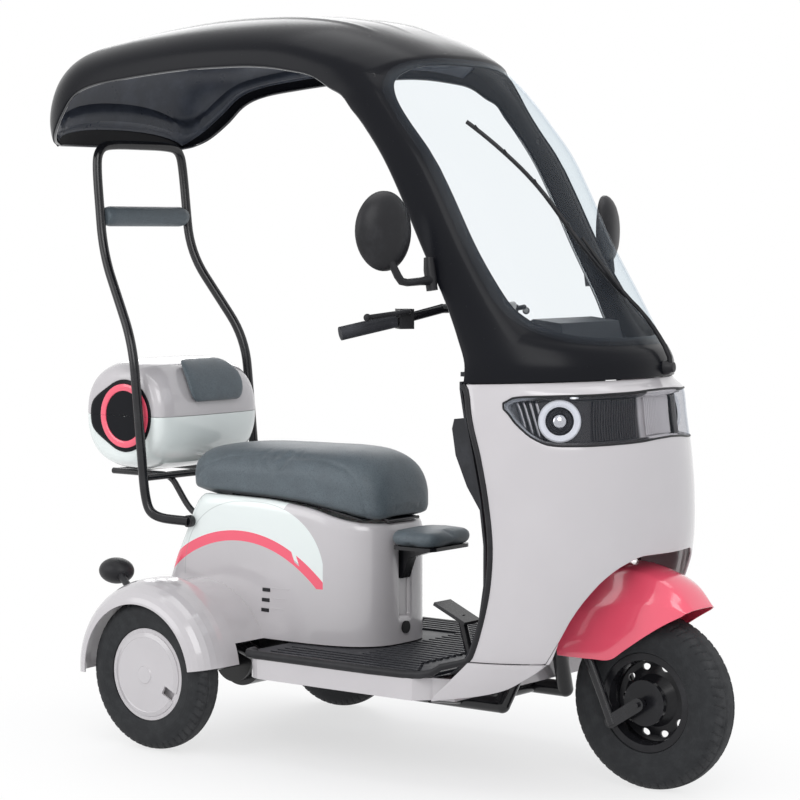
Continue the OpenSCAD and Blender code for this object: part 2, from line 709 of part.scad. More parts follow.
// Rear fenders: a round section turned about a line a little behind the axle
fender_mid_s = -20;
fender_in = 262;
fender_out = 408;
fender_arc = [-4, 176];
module fender_profile() {
    polygon(concat([[fender_r - 20, fender_in], [fender_r, fender_in + 20], [fender_r, 318]],
        [for (t = [12 : 12 : 84]) [fender_r - 56 + 56 * cos(t), 318 + (fender_out - 318) * sin(t)]],
        [[lip_r, fender_out], [lip_r, fender_out - fender_t]],
        [for (t = [84 : -12 : 12]) [fender_r - 56 + (56 - fender_t) * cos(t), 318 + (fender_out - 318 - fender_t) * sin(t)]],
        [[fender_r - fender_t, 318], [fender_r - fender_t, fender_in + 20], [fender_r - 20 - fender_t, fender_in]]));
}
module rear_fenders() {
    color("#cfc6c6") both_sides() {
        translate([st(fender_mid_s), 0, rear_tyre_r])
            rotate([-90, 0, 0])
                rotate([0, 0, 180 + fender_arc[0]])
                    rotate_extrude(angle = fender_arc[1], $fn = 96)
                        fender_profile();
        intersection() {
            translate([st(fender_mid_s), base_half, rear_tyre_r])
                rotate([-90, 0, 0])
                    difference() {
                        cylinder(r = fender_r - 16, h = fender_in - base_half + 2, $fn = 96);
                        translate([0, 0, -e])
                            cylinder(r = fender_r - 16 - fender_t, h = fender_in, $fn = 96);
                    }
            translate([st(-fender_r), 0, 262])
                cube([2 * fender_r + 30, 300, 300]);
        }
    }
}
signal_gap = 0.5;
module tail_signals() {
    color("#15171b") both_sides() {
        difference() {
            bar([st(-132), 300, 364], [st(-222), 252, 402], 9);
            translate([st(fender_mid_s), 200, rear_tyre_r])
                rotate([-90, 0, 0])
                    cylinder(r = fender_r + signal_gap, h = 150, $fn = 96);
        }
        translate([st(-240), 242, 403])
            scale([1.1, 0.9, 0.75])
                sphere(r = 44, $fn = 32);
    }
}
module tail_lamp() {
    color("#a02028") {
        across(70, [[-150.3, 330], [-150.3, 380], [-166, 372], [-170, 355], [-164, 334]]);
        across(34, [[-128, 452], [-118, 480], [-136, 490], [-146, 462]]);
    }
}

// Roll bar: hoop under the roof, cranked posts and feet in the seat base
hoop_y = 162;
hoop_s = -378;
function roll_path(side) = [
    [st(hoop_s), side * (hoop_y - 45), 1478], [st(hoop_s), side * (hoop_y - 12), 1464],
    [st(hoop_s), side * hoop_y, 1430], [st(hoop_s + 24), side * (hoop_y + 2), 1200],
    [st(-206), side * roll_y, 975], [st(-180), side * roll_y, 720], [st(-166), side * roll_y, 575],
    [st(-140), side * (roll_y - 6), 541], [st(-60), side * (base_half + 12), 534]];
module roll_bar() {
    color("#131418") {
        bent_tube(concat([for (k = [len(roll_path(-1)) - 1 : -1 : 0]) roll_path(-1)[k]], roll_path(1)), roll_r);
        for (side = [-1, 1])
            bar([st(-60), side * base_half, 534], [st(-60), side * (base_half + 16), 534], 15);
    }
}
roll_pad_r = 27;
roll_pad_z = 1294;
module roll_pad() {
    color("#4a4f55") translate([st(hoop_s + 15), 0, roll_pad_z])
        rotate([90, 0, 0])
            cylinder(r = roll_pad_r, h = 2 * (hoop_y - roll_r + 1), center = true);
}

// Pod: a barrel across the vehicle, split level with its middle
pod_s = -270;
pod_z = 790;
cap_depth = 6;
// One ring of the pod at the share t of its half length, drawn in by a wall
function pod_ring(t, in) = let (y = t * (pod_half - in), k = pow(1 - pow(abs(t), 3.4), 1 / 3.4))
    [for (a = [0 : 15 : 345]) let (c = cos(a), s = sin(a), q = pow(pow(abs(c), 2.4) + pow(abs(s), 2.4), -1 / 2.4))
        [st(pod_s) + (pod_depth * lerp(0.66, 1, k) - in) * c * q, y, pod_z + (pod_height * lerp(0.62, 1, k) - in) * s * q]];
// Solid through rings of points that turn clockwise as seen along the row of rings
module loft(rings) {
    n = len(rings);
    m = len(rings[0]);
    polyhedron([for (r = rings) each r], concat([[for (j = [m - 1 : -1 : 0]) j]],
        [for (i = [0 : n - 2], j = [0 : m - 1]) each [[i * m + j, (i + 1) * m + (j + 1) % m, (i + 1) * m + j],
            [i * m + j, i * m + (j + 1) % m, (i + 1) * m + (j + 1) % m]]],
        [[for (j = [0 : m - 1]) (n - 1) * m + j]]), convexity = 4);
}
module pod_solid(in) {
    loft([for (t = [-1, -0.96, -0.86, -0.68, -0.4, 0, 0.4, 0.68, 0.86, 0.96, 1]) pod_ring(t, in)]);
}
module pod_half_space(up) {
    translate([st(pod_s) - 250, -300, up ? pod_z + pod_gap / 2 : pod_z - pod_gap / 2 - 300])
        cube([500, 600, 300]);
}
module pod_shell(up) {
    intersection() {
        difference() {
            pod_solid(0);
            pod_solid(pod_wall);
        }
        pod_half_space(up);
    }
}
// Hinge behind the pod: barrels of the lid between barrels of the tub
pod_hinge_r = 5;
pod_hinge_s = pod_s - pod_depth - pod_hinge_r - 1;
module pod_barrel(y, w, up) {
    for (side = [-1, 1])
        translate([st(pod_hinge_s), side * y, pod_z]) {
            rotate([90, 0, 0])
                cylinder(r = pod_hinge_r, h = w, center = true);
            translate([0, -w / 2, up ? pod_gap / 2 : -pod_hinge_r])
                cube([pod_hinge_r + 4, w, pod_hinge_r - pod_gap / 2]);
        }
}
module pod_tub() {
    color("#e8eeec") {
        pod_shell(false);
        pod_barrel(76, 20, false);
    }
}
module pod_lid() {
    color("#cfc6c6") {
        pod_shell(true);
        pod_barrel(55, 20, true);
    }
}
module cap_rings(up) {
    intersection() {
        for (side = [-1, 1])
            translate([st(pod_s), side * (pod_half + 0.3), pod_z])
                rotate([-90 * side, 0, 0])
                    difference() {
                        scale([1.12, 1, 1])
                            cylinder(r = 80, h = cap_depth, $fn = 48);
                        translate([0, 0, cap_depth - 3])
                            difference() {
                                cylinder(r = 58, h = 4);
                                cylinder(r = 47, h = 4);
                            }
                    }
        pod_half_space(up);
    }
}
module pod_caps() {
    color("#16171b") cap_rings(false);
}
module pod_lid_caps() {
    color("#16171b") cap_rings(true);
}
module backrest() {
    color("#565d63") difference() {
        intersection() {
            translate([st(pod_s), 0, pod_z])
                rotate([90, 0, 0])
                    cylinder(r = pod_depth + 24, h = 220, center = true, $fn = 72);
            translate([st(pod_s) + 70, -120, pod_z + 18])
                cube([150, 240, 104]);
        }
        pod_solid(-0.5);
    }
}
rack_y = 105;
rack_z = pod_z - pod_height - 9;
module pod_rack() {
    color("#131418") {
        for (side = [-1, 1]) {
            bent_tube([[st(pod_s - 110), side * rack_y, rack_z], [st(pod_s + 90), side * rack_y, rack_z],
                [st(-120), side * rack_y, 560], [st(-88), side * rack_y, 540]], 8);
        }
        for (s = [pod_s - 100, pod_s + 80])
            bar([st(s), -rack_y, rack_z], [st(s), rack_y, rack_z], 8);
        bar([st(-172), roll_r - roll_y, rack_z], [st(-172), roll_y - roll_r, rack_z], 8);
    }
}

// Saddle on its hinged plate
saddle_hinge = [484, 562];
hinge_r = 4;
saddle_rows = [
    [-98, 612, 676, 96], [-84, 608, 702, 122], [-50, 607, 714, 140], [40, 607, 724, 150],
    [150, 606, 727, 152], [250, 600, 728, 150], [330, 590, 729, 146], [400, 578, 724, 140],
    [450, 569, 706, 130], [480, 566, 676, 108], [494, 570, 640, 80]];
function saddle_ring(r) = let (zc = (r[1] + r[2]) / 2, h = (r[2] - r[1]) / 2)
    [for (a = [0 : 18 : 342]) let (c = cos(a), s = sin(a), q = pow(pow(abs(c), 3.2) + pow(abs(s), 3.2), -1 / 3.2))
        [st(r[0]), -r[3] * c * q, zc + h * s * q]];
module saddle() {
    color("#565d63") loft([for (r = saddle_rows) saddle_ring(r)]);
}
plate_rows = [for (r = saddle_rows) if (r[0] > 30 && r[0] < 460) r];
module saddle_plate() {
    color("#17181c") {
        p = [for (r = plate_rows) [r[0], r[1] - 0.3]];
        across(118, concat(p, [for (i = [len(p) - 1 : -1 : 0]) p[i] - [0, 4]]));
        across(56, [[449, 568.5], [saddle_hinge[0], 565.5], [saddle_hinge[0], 560], [449, 564.7]]);
        translate([st(saddle_hinge[0]), 0, saddle_hinge[1]])
            rotate([90, 0, 0])
                cylinder(r = hinge_r, h = 120, center = true);
    }
}

// Fork, in the steering frame: legs, crown, stem and the links that carry the axle
crown_h = front_tyre_r - 16;
leg_x = -14;
stem_top = 952;
module fork() {
    color("#1a1b1f") at_steering() {
        for (side = [-1, 1]) {
            translate([leg_x, side * leg_y, -52])
                cylinder(r = leg_r, h = crown_h + 60);
            hull() {
                for (p = [[leg_x, -44], [hub_x, hub_z]])
                    translate([p[0], side * leg_y, p[1]])
                        rotate([90, 0, 0])
                            cylinder(r = 15, h = 12, center = true, $fn = 32);
            }
        }
        translate([hub_x, 0, hub_z])
            rotate([90, 0, 0])
                cylinder(r = axle_r, h = 2 * leg_y + 26, center = true);
        translate([-30, -leg_y - leg_r, crown_h])
            cube([50, 2 * (leg_y + leg_r), 16]);
        translate([0, 0, crown_h])
            cylinder(r = stem_r, h = stem_top - crown_h);
        translate([0, 0, crown_h + 16 - e])
            cylinder(r = stem_r + 8, h = head_z[0] - crown_h - 16 - 1.5);
    }
}
// Columns: crown station and height, lower edge station and height, half width
fender_rows = [
    [1324, 422, 1306, 408, 62], [1284, 468, 1262, 384, 74], [1236, 496, 1215, 354, 80],
    [1176, 514, 1168, 322, 80], [1110, 514, 1128, 296, 80], [1050, 499, 1080, 293, 80],
    [1002, 464, 1035, 292, 79.5], [982, 410, 1005, 292, 79], [976, 350, 985, 292, 77]];
module front_fender() {
    p = [for (r = fender_rows) [for (c = [[-1, 1], [-1, 0.5], [-0.64, 0.07],
        [-0.3, 0], [0.3, 0], [0.64, 0.07], [1, 0.5], [1, 1]])
        [st(lerp(r[0], r[2], c[1])), c[0] * r[4], lerp(r[1], r[3], c[1])]]];
    color("#f4657e") difference() {
        skin(p, 3);
        at_steering()
            translate([0, 0, crown_h + 18])
                cylinder(r = stem_r + 8.2, h = 100);
    }
}
bar_path = [[735, 0, 1066], [735, 70, 1078], [705, 140, 1078], [655, 200, 1058], [560, 330, 1023]];
function on_bar(side, p) = [st(p[0]), side * p[1], p[2]];
module handlebar() {
    color("#16171b") difference() {
        union() {
            for (side = [-1, 1])
                bent_tube([for (p = bar_path) on_bar(side, p)], bar_r);
            translate([st(735), 0, 1066])
                sphere(r = 24);
        }
        at_steering()
            translate([0, 0, stem_top - 60])
                cylinder(r = stem_r + 0.1, h = 60.2);
    }
}
module grips() {
    color("#1d1e22") for (side = [-1, 1])
        difference() {
            bar(lerp(on_bar(side, bar_path[4]), on_bar(side, bar_path[3]), -0.02),
                lerp(on_bar(side, bar_path[4]), on_bar(side, bar_path[3]), 0.8), grip_r);
            bar(on_bar(side, bar_path[4]), on_bar(side, bar_path[3]), bar_r + 0.2);
        }
}
module hand_controls() {
    color("#15161a") for (side = [-1, 1]) {
        difference() {
            translate([st(648), side * 208, 1055])
                rotate([0, 0, side * 38])
                    cube([44, 34, 46], center = true);
            bent_tube([for (k = [4, 3, 2]) on_bar(side, bar_path[k])], bar_r + 0.2);
        }
        bent_tube([[st(664), side * 208, 1068], [st(676), side * 232, 1072], [st(624), side * 316, 1060]], 6);
        translate([st(624), side * 316, 1060])
            sphere(r = 9);
    }
}

// Wheels: profiles are radius and side position, turned about the axle
function tyre_half(r_out, w, rim) = [for (a = [0 : 12 : 180])
    let (c = cos(a), s = sin(a), q = pow(pow(abs(c), 2.5) + pow(abs(s), 2.5), -1 / 2.5), mid = rim + (r_out - rim) * 0.42)
    [mid + (r_out - mid) * s * q, w / 2 * c * q]];
bead_gap = 0.4;
module tyre_profile(r_out, w, rim) {
    bead = w / 2 - 15 - bead_gap;
    polygon(concat(tyre_half(r_out, w, rim), [[flange_r - 2, -w / 2 + 7], [flange_r - 3, -bead], [rim + bead_gap, -bead],
        [rim + bead_gap, bead], [flange_r - 3, bead], [flange_r - 2, w / 2 - 7]]));
}
module barrel_profile(w) {
    half = w / 2 - 12;
    polygon([[rim_r - 10, half + 2], [flange_r - 4, half + 2], [flange_r - 4, half - 3], [rim_r, half - 3],
        [rim_r - 6, 12], [rim_r - 6, -12], [rim_r, -half + 3], [flange_r - 4, -half + 3], [flange_r - 4, -half - 2],
        [rim_r - 10, -half - 2], [rim_r - 14, -14], [rim_r - 14, 14]]);
}
hub_half = 44;
module front_rim() {
    color("#1a1b1e") difference() {
        union() {
            turned(front_s, 0, front_tyre_r) barrel_profile(front_tyre_w);
            turned(front_s, 0, front_tyre_r) polygon([[axle_r + 2, -hub_half], [34, -hub_half], [38, -20],
                [60, -10], [80, -14], [rim_r - 13, -8], [rim_r - 13, -3], [80, -8], [60, -4], [40, 8], [52, 30], [52, hub_half - 2],
                [axle_r + 2, hub_half - 2]]);
        }
        for (k = [0 : rim_holes - 1])
            translate([st(front_s), 0, front_tyre_r])
                rotate([0, k * 360 / rim_holes, 0])
                    translate([78, 0, 0])
                        rotate([90, 0, 0])
                            scale([0.72, 1, 1])
                                cylinder(r = 10.5, h = 60, center = true);
        translate([st(front_s), 0, front_tyre_r])
            rotate([90, 0, 0])
                cylinder(r = axle_r + 0.5, h = 2 * hub_half + 2, center = true);
    }
}
module front_tyre() {
    color("#1c1d20") turned(front_s, 0, front_tyre_r) tyre_profile(front_tyre_r, front_tyre_w, rim_r);
}
module rear_rim(side) {
    color("#cfc6c6") {
        turned(0, side * rear_track / 2, rear_tyre_r) barrel_profile(rear_tyre_w);
        turned(0, side * rear_track / 2, rear_tyre_r)
            polygon([[9.5, -12 * side - 6], [rim_r - 12, -12 * side - 6], [rim_r - 12, -12 * side + 6], [9.5, -12 * side + 6]]);
    }
}
module rear_tyre(side) {
    color("#1c1d20") turned(0, side * rear_track / 2, rear_tyre_r) tyre_profile(rear_tyre_r, rear_tyre_w, rim_r);
}
notch_angle = -28;
module hub_cap(side) {
    y = side * rear_track / 2;
    color("#cfc6c6") difference() {
        translate([st(0), y + side * (rear_tyre_w / 2 - 10), rear_tyre_r])
            rotate([-90 * side, 0, 0])
                rotate_extrude($fn = 96)
                    polygon([[0, 0], [cap_r, 0], [cap_r, 2], [cap_r - 10, 6], [cap_r - 12, 5], [30, 9], [22, 10], [20, 12], [0, 12]]);
        translate([st(0), y + side * rear_tyre_w / 2, rear_tyre_r])
            rotate([0, notch_angle * -1, 0])
                translate([cap_r - 12, 0, 0])
                    cube([50, 60, 22], center = true);
    }
}

chassis();
rear_axle();
rear_shocks();
battery();
footboard();
floor_mat();
lower_nose();
front_shell();
shell_trim();
leg_shield();
dash();
lamp_housing();
lamp_lens();
lamp_rings();
canopy();
roof_liner();
windshield();
wiper();
mirrors();
seat_base();
side_vents();
charge_cap();
brake_pedal();
step_seat_bracket();
step_seat();
rear_fenders();
tail_signals();
tail_lamp();
roll_bar();
roll_pad();
pod_rack();
pod_tub();
pod_caps();
pod_lid();
pod_lid_caps();
backrest();
saddle_plate();
saddle();
fork();
front_fender();
handlebar();
grips();
hand_controls();
front_rim();
front_tyre();
rear_rim(1);  // rear_rim_left
rear_tyre(1);  // rear_tyre_left
hub_cap(1);  // hub_cap_left
rear_rim(-1);  // rear_rim_right
rear_tyre(-1);  // rear_tyre_right
hub_cap(-1);  // hub_cap_right
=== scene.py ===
"""Electric tricycle with a roof: the looks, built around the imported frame.

Everything is in metres in the frame of the solids: X forward, Y to the rider's left, Z up.
Sizes in the tables are millimetres, and stations are measured forward from the rear axle.
"""

import logging
import math
from bisect import bisect_right
from dataclasses import dataclass, field
from enum import Enum
from typing import Callable, Sequence

import bmesh
import bpy
import numpy as np
from mathutils import Matrix, Vector


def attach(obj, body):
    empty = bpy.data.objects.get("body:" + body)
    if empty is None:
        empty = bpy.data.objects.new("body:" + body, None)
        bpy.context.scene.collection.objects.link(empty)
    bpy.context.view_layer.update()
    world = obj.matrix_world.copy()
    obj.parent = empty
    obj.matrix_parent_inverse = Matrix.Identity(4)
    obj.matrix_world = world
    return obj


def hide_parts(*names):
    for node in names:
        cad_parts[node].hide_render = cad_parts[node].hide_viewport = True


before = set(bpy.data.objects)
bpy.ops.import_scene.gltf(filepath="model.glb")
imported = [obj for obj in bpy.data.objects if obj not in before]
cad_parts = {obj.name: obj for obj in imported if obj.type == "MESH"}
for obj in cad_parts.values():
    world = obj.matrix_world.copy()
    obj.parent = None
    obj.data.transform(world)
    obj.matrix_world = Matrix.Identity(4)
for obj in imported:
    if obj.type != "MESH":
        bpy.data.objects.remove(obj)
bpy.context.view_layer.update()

MM = 0.001
REAR_AXLE_X = -0.4605
Point = tuple[float, float, float]
log = logging.getLogger("tricycle")


def at(s: float, y: float, z: float) -> Vector:
    """Returns the point at station s, side y and height z, all in millimetres, in metres."""
    return Vector((REAR_AXLE_X + s * MM, y * MM, z * MM))


def mix(a: float, b: float, t: float) -> float:
    """Returns the value between a and b at the share t."""
    return a + (b - a) * t


def bell(x: float, width: float) -> float:
    """Returns a smooth hump: 1 at x = 0 and 0 from x = width outwards."""
    return 0.5 + 0.5 * math.cos(math.pi * min(abs(x) / width, 1.0))


def signed_power(x: float, k: float) -> float:
    """Returns x to the power k with the sign of x."""
    return math.copysign(abs(x) ** k, x)


def curve_at(rows: Sequence[Sequence[float]], v: float) -> np.ndarray:
    """Reads a table at a fractional row, on a smooth curve through its rows.

    Args:
        rows: The table, one row a section.
        v: The fractional row index.

    Returns:
        The values of all columns there.
    """
    table = np.asarray(rows, dtype=float)
    i = min(max(int(v), 0), len(table) - 2)
    t = v - i
    p0, p1 = table[max(i - 1, 0)], table[i]
    p2, p3 = table[i + 1], table[min(i + 2, len(table) - 1)]
    return 0.5 * (2 * p1 + (p2 - p0) * t + (2 * p0 - 5 * p1 + 4 * p2 - p3) * t * t
                  + (3 * p1 - p0 - 3 * p2 + p3) * t ** 3)


def value_at(pairs: Sequence[tuple[float, float]], x: float) -> float:
    """Reads a value from (place, value) pairs in rising order, on a smooth curve that never overshoots."""
    places = [p[0] for p in pairs]
    last = len(pairs) - 1
    x = min(max(x, places[0]), places[last])
    i = min(max(bisect_right(places, x) - 1, 0), last - 1)

    def slope(k: int) -> float:
        """Returns the slope of stretch k."""
        return (pairs[k + 1][1] - pairs[k][1]) / (pairs[k + 1][0] - pairs[k][0])

    def lean(k: int) -> float:
        """Returns the curve's slope at point k."""
        if k in (0, last):
            return slope(min(k, last - 1))
        before, after = slope(k - 1), slope(k)
        return 0.0 if before * after <= 0 else 2 * before * after / (before + after)

    wide = places[i + 1] - places[i]
    t = (x - places[i]) / wide
    low, high = pairs[i][1], pairs[i + 1][1]
    return (low * (1 + 2 * t) * (1 - t) ** 2 + high * t * t * (3 - 2 * t)
            + wide * (lean(i) * t * (1 - t) ** 2 - lean(i + 1) * t * t * (1 - t)))


# Shader maths


class Val:
    """A socket whose operators add Math nodes."""

    def __init__(self, tree: "Shader", socket: bpy.types.NodeSocket) -> None:
        """Wraps one output socket of the tree."""
        self.tree = tree
        self.socket = socket

    def _math(self, operation: str, *values: "Val | float") -> "Val":
        """Adds one Math node.

        Args:
            operation: The node's operation.
            *values: Its inputs in order.

        Returns:
            The node's result.
        """
        return self.tree.node("ShaderNodeMath", {"operation": operation}, dict(enumerate(values)))

    def __add__(self, other: "Val | float") -> "Val":
        """Returns self + other."""
        return self._math("ADD", self, other)

    def __radd__(self, other: float) -> "Val":
        """Returns other + self."""
        return self._math("ADD", other, self)

    def __sub__(self, other: "Val | float") -> "Val":
        """Returns self - other."""
        return self._math("SUBTRACT", self, other)

    def __rsub__(self, other: float) -> "Val":
        """Returns other - self."""
        return self._math("SUBTRACT", other, self)

    def __mul__(self, other: "Val | float") -> "Val":
        """Returns self * other."""
        return self._math("MULTIPLY", self, other)

    def __rmul__(self, other: float) -> "Val":
        """Returns other * self."""
        return self._math("MULTIPLY", other, self)

    def __truediv__(self, other: "Val | float") -> "Val":
        """Returns self / other."""
        return self._math("DIVIDE", self, other)

    def __pow__(self, other: "Val | float") -> "Val":
        """Returns self to the power other."""
        return self._math("POWER", self, other)

    def __abs__(self) -> "Val":
        """Returns the size of self."""
        return self._math("ABSOLUTE", self)

    def above(self, edge: "Val | float") -> "Val":
        """Returns 1 where self is greater than edge and 0 elsewhere."""
        return self._math("GREATER_THAN", self, edge)

    def below(self, edge: "Val | float") -> "Val":
        """Returns 1 where self is less than edge and 0 elsewhere."""
        return self._math("LESS_THAN", self, edge)

    def root(self) -> "Val":
        """Returns the square root of self."""
        return self._math("SQRT", self)

    def wave(self) -> "Val":
        """Returns the sine of self."""
        return self._math("SINE", self)

    def least(self, other: "Val | float") -> "Val":
        """Returns the smaller of self and other."""
        return self._math("MINIMUM", self, other)

    def most(self, other: "Val | float") -> "Val":
        """Returns the greater of self and other."""
        return self._math("MAXIMUM", self, other)


class Shader:
    """A new material and its node tree."""

    def __init__(self, name: str) -> None:
        """Starts a material with a Principled shader and its output."""
        self.material = bpy.data.materials.new(name)
        self.material.use_nodes = True
        self.nodes = self.material.node_tree.nodes
        self.links = self.material.node_tree.links
        self.nodes.clear()
        self.surface = self.nodes.new("ShaderNodeBsdfPrincipled")
        self.output = self.nodes.new("ShaderNodeOutputMaterial")
        self.links.new(self.surface.outputs[0], self.output.inputs["Surface"])
        self._places: list[Val] = []

    def node(self, kind: str, settings: dict, inputs: dict, result: int | str = 0) -> Val:
        """Adds one node.

        Args:
            kind: The node's type.
            settings: Attributes that are set first; "stops" fills a colour ramp.
            inputs: Values or links by socket name or number.
            result: The output that is handed back.

        Returns:
            The chosen output.
        """
        made = self.nodes.new(kind)
        for key, value in settings.items():
            if key == "stops":
                self._fill_ramp(made, value)
            else:
                setattr(made, key, value)
        for key, value in inputs.items():
            if isinstance(value, Val):
                self.links.new(value.socket, made.inputs[key])
            else:
                made.inputs[key].default_value = value
        return Val(self, made.outputs[result])

    def _fill_ramp(self, made: bpy.types.Node, stops: Sequence[tuple[float, Sequence[float]]]) -> None:
        """Sets a colour ramp's stops, each a place and a colour."""
        ramp = made.color_ramp
        while len(ramp.elements) < len(stops):
            ramp.elements.new(0.5)
        for element, (place, colour) in zip(ramp.elements, stops):
            element.position = place
            element.color = (*colour, 1.0)

    def place(self) -> list[Val]:
        """Returns the object coordinates x, y and z, in metres."""
        if not self._places:
            coords = self.node("ShaderNodeTexCoord", {}, {}, "Object")
            self._places = [self.node("ShaderNodeSeparateXYZ", {}, {0: coords}, i) for i in range(3)]
        return self._places

    def noise(self, scale: float, detail: float = 3.0, rough: float = 0.5,
              stretch: Point = (1.0, 1.0, 1.0)) -> Val:
        """Adds a noise texture in object space.

        Args:
            scale: Its scale, in lumps a metre.
            detail: Number of octaves.
            rough: Weight of the finer octaves.
            stretch: Scale along each axis.

        Returns:
            Its value from 0 to 1.
        """
        coords = self.node("ShaderNodeTexCoord", {}, {}, "Object")
        placed = self.node("ShaderNodeMapping", {}, {0: coords, "Scale": stretch})
        return self.node("ShaderNodeTexNoise", {},
                         {"Vector": placed, "Scale": scale, "Detail": detail, "Roughness": rough}, 0)

    def cells(self, scale: float, stretch: Point = (1.0, 1.0, 1.0)) -> Val:
        """Adds a cell texture in object space and returns the distance to its cell's middle."""
        coords = self.node("ShaderNodeTexCoord", {}, {}, "Object")
        placed = self.node("ShaderNodeMapping", {}, {0: coords, "Scale": stretch})
        return self.node("ShaderNodeTexVoronoi", {"feature": "F1"}, {"Vector": placed, "Scale": scale}, 0)

    def blend(self, share: Val, a: "Val | Sequence[float]", b: "Val | Sequence[float]") -> Val:
        """Mixes two colours.

        Args:
            share: 0 for a and 1 for b.
            a: First colour.
            b: Second colour.

        Returns:
            The mixed colour.
        """
        ends = {key: c if isinstance(c, Val) else (*c, 1.0) for key, c in ((6, a), (7, b))}
        return self.node("ShaderNodeMix", {"data_type": "RGBA", "clamp_factor": True}, {0: share, **ends}, 2)

    def soften(self, value: Val, low: float, high: float) -> Val:
        """Returns a smooth step of the value from 0 at low to 1 at high."""
        return self.node("ShaderNodeMapRange", {"interpolation_type": "SMOOTHSTEP"},
                         {0: value, 1: low, 2: high, 3: 0.0, 4: 1.0})

    def bump(self, height: Val, depth: float, strength: float = 1.0) -> None:
        """Adds relief of a depth in metres to the surface."""
        made = self.node("ShaderNodeBump", {}, {"Strength": strength, "Distance": depth, "Height": height})
        self.set({"Normal": made})

    def set(self, values: dict) -> None:
        """Sets or links sockets of the Principled shader by name."""
        for key, value in values.items():
            socket = self.surface.inputs[key]
            if isinstance(value, Val):
                self.links.new(value.socket, socket)
            elif isinstance(value, (tuple, list)) and len(value) == 3:
                socket.default_value = (*value, 1.0)
            else:
                socket.default_value = value


Colour = tuple[float, float, float]
GREIGE: Colour = (0.575, 0.55, 0.56)
MINT: Colour = (0.83, 0.885, 0.86)
CORAL: Colour = (0.95, 0.105, 0.175)
INK: Colour = (0.006, 0.0065, 0.009)
SLATE: Colour = (0.098, 0.122, 0.138)


@dataclass(frozen=True)
class Gloss:
    """Glossy moulded plastic with a faint waviness and dust that dulls it a little."""

    name: str
    colour: Colour
    rough: float = 0.16
    coat: float = 0.6
    paint: Callable[[Shader, Val], Val] | None = None
    shine: float = 0.5

    def material(self) -> bpy.types.Material:
        """Returns the node material."""
        sh = Shader(self.name)
        cloud = sh.noise(5.0, 4.0)
        dust = sh.noise(90.0, 4.0, 0.7)
        darker = tuple(c * 0.965 for c in self.colour)
        base = sh.blend(sh.soften(cloud, 0.35, 0.68), self.colour, darker)
        if self.paint:
            base = self.paint(sh, base)
        sh.set({"Base Color": base, "Roughness": self.rough + dust * 0.05, "Coat Weight": self.coat,
                "Coat Roughness": 0.04, "IOR": 1.5, "Specular IOR Level": self.shine})
        sh.bump(cloud * 0.7 + sh.noise(900.0, 2.0) * 0.02, 0.0006, 0.35)
        return sh.material


@dataclass(frozen=True)
class Satin:
    """Grained black plastic or satin paint."""

    name: str
    colour: Colour
    rough: float = 0.42
    grain: float = 900.0
    depth: float = 0.00012
    metal: float = 0.0
    shine: float = 0.25

    def material(self) -> bpy.types.Material:
        """Returns the node material."""
        sh = Shader(self.name)
        grain = sh.noise(self.grain, 3.0, 0.6)
        wear = sh.noise(14.0, 5.0, 0.6)
        lighter = tuple(min(c * 1.5 + 0.006, 1.0) for c in self.colour)
        sh.set({"Base Color": sh.blend(sh.soften(wear, 0.45, 0.75), self.colour, lighter),
                "Roughness": self.rough + (wear - 0.5) * 0.22, "Metallic": self.metal,
                "Specular IOR Level": self.shine})
        sh.bump(grain, self.depth, 0.7)
        return sh.material


@dataclass(frozen=True)
class SeatCover:
    """Synthetic leather with a fine pebbled grain and a soft sheen."""

    name: str
    colour: Colour

    def material(self) -> bpy.types.Material:
        """Returns the node material."""
        sh = Shader(self.name)
        pebbles = sh.cells(620.0)
        folds = sh.noise(26.0, 4.0, 0.55)
        light = tuple(c * 1.22 for c in self.colour)
        tone = sh.blend(sh.soften(folds, 0.3, 0.75), self.colour, light)
        dark = tuple(c * 0.7 for c in self.colour)
        sh.set({"Base Color": sh.blend(sh.soften(pebbles, 0.45, 0.8), tone, dark),
                "Roughness": 0.5 + (folds - 0.5) * 0.18, "Sheen Weight": 0.12, "Specular IOR Level": 0.4})
        sh.bump((1.0 - pebbles) * 0.6 + folds * 0.5, 0.0004, 0.55)
        return sh.material


@dataclass(frozen=True)
class TyreRubber:
    """Dull black rubber, dustier on the sides."""

    name: str
    axle: Point
    radius: float

    def material(self) -> bpy.types.Material:
        """Returns the node material."""
        sh = Shader(self.name)
        x, y, z = sh.place()
        dx, dz = x - self.axle[0], z - self.axle[2]
        out = (dx * dx + dz * dz).root() / self.radius
        rings = ((out * self.radius * 950.0).wave() * 0.5 + 0.5) * sh.soften(out, 0.92, 0.86)
        dust = sh.noise(40.0, 5.0, 0.65)
        side = sh.blend(sh.soften(dust, 0.35, 0.8), (0.014, 0.015, 0.017), (0.03, 0.032, 0.034))
        tread = sh.blend(sh.soften(dust, 0.3, 0.7), (0.02, 0.021, 0.023), (0.045, 0.046, 0.048))
        sh.set({"Base Color": sh.blend(sh.soften(out, 0.9, 0.97), side, tread),
                "Roughness": 0.62 + dust * 0.22, "Specular IOR Level": 0.35})
        sh.bump(rings * 0.5 + sh.noise(700.0, 3.0) * 0.35, 0.0004, 0.8)
        return sh.material


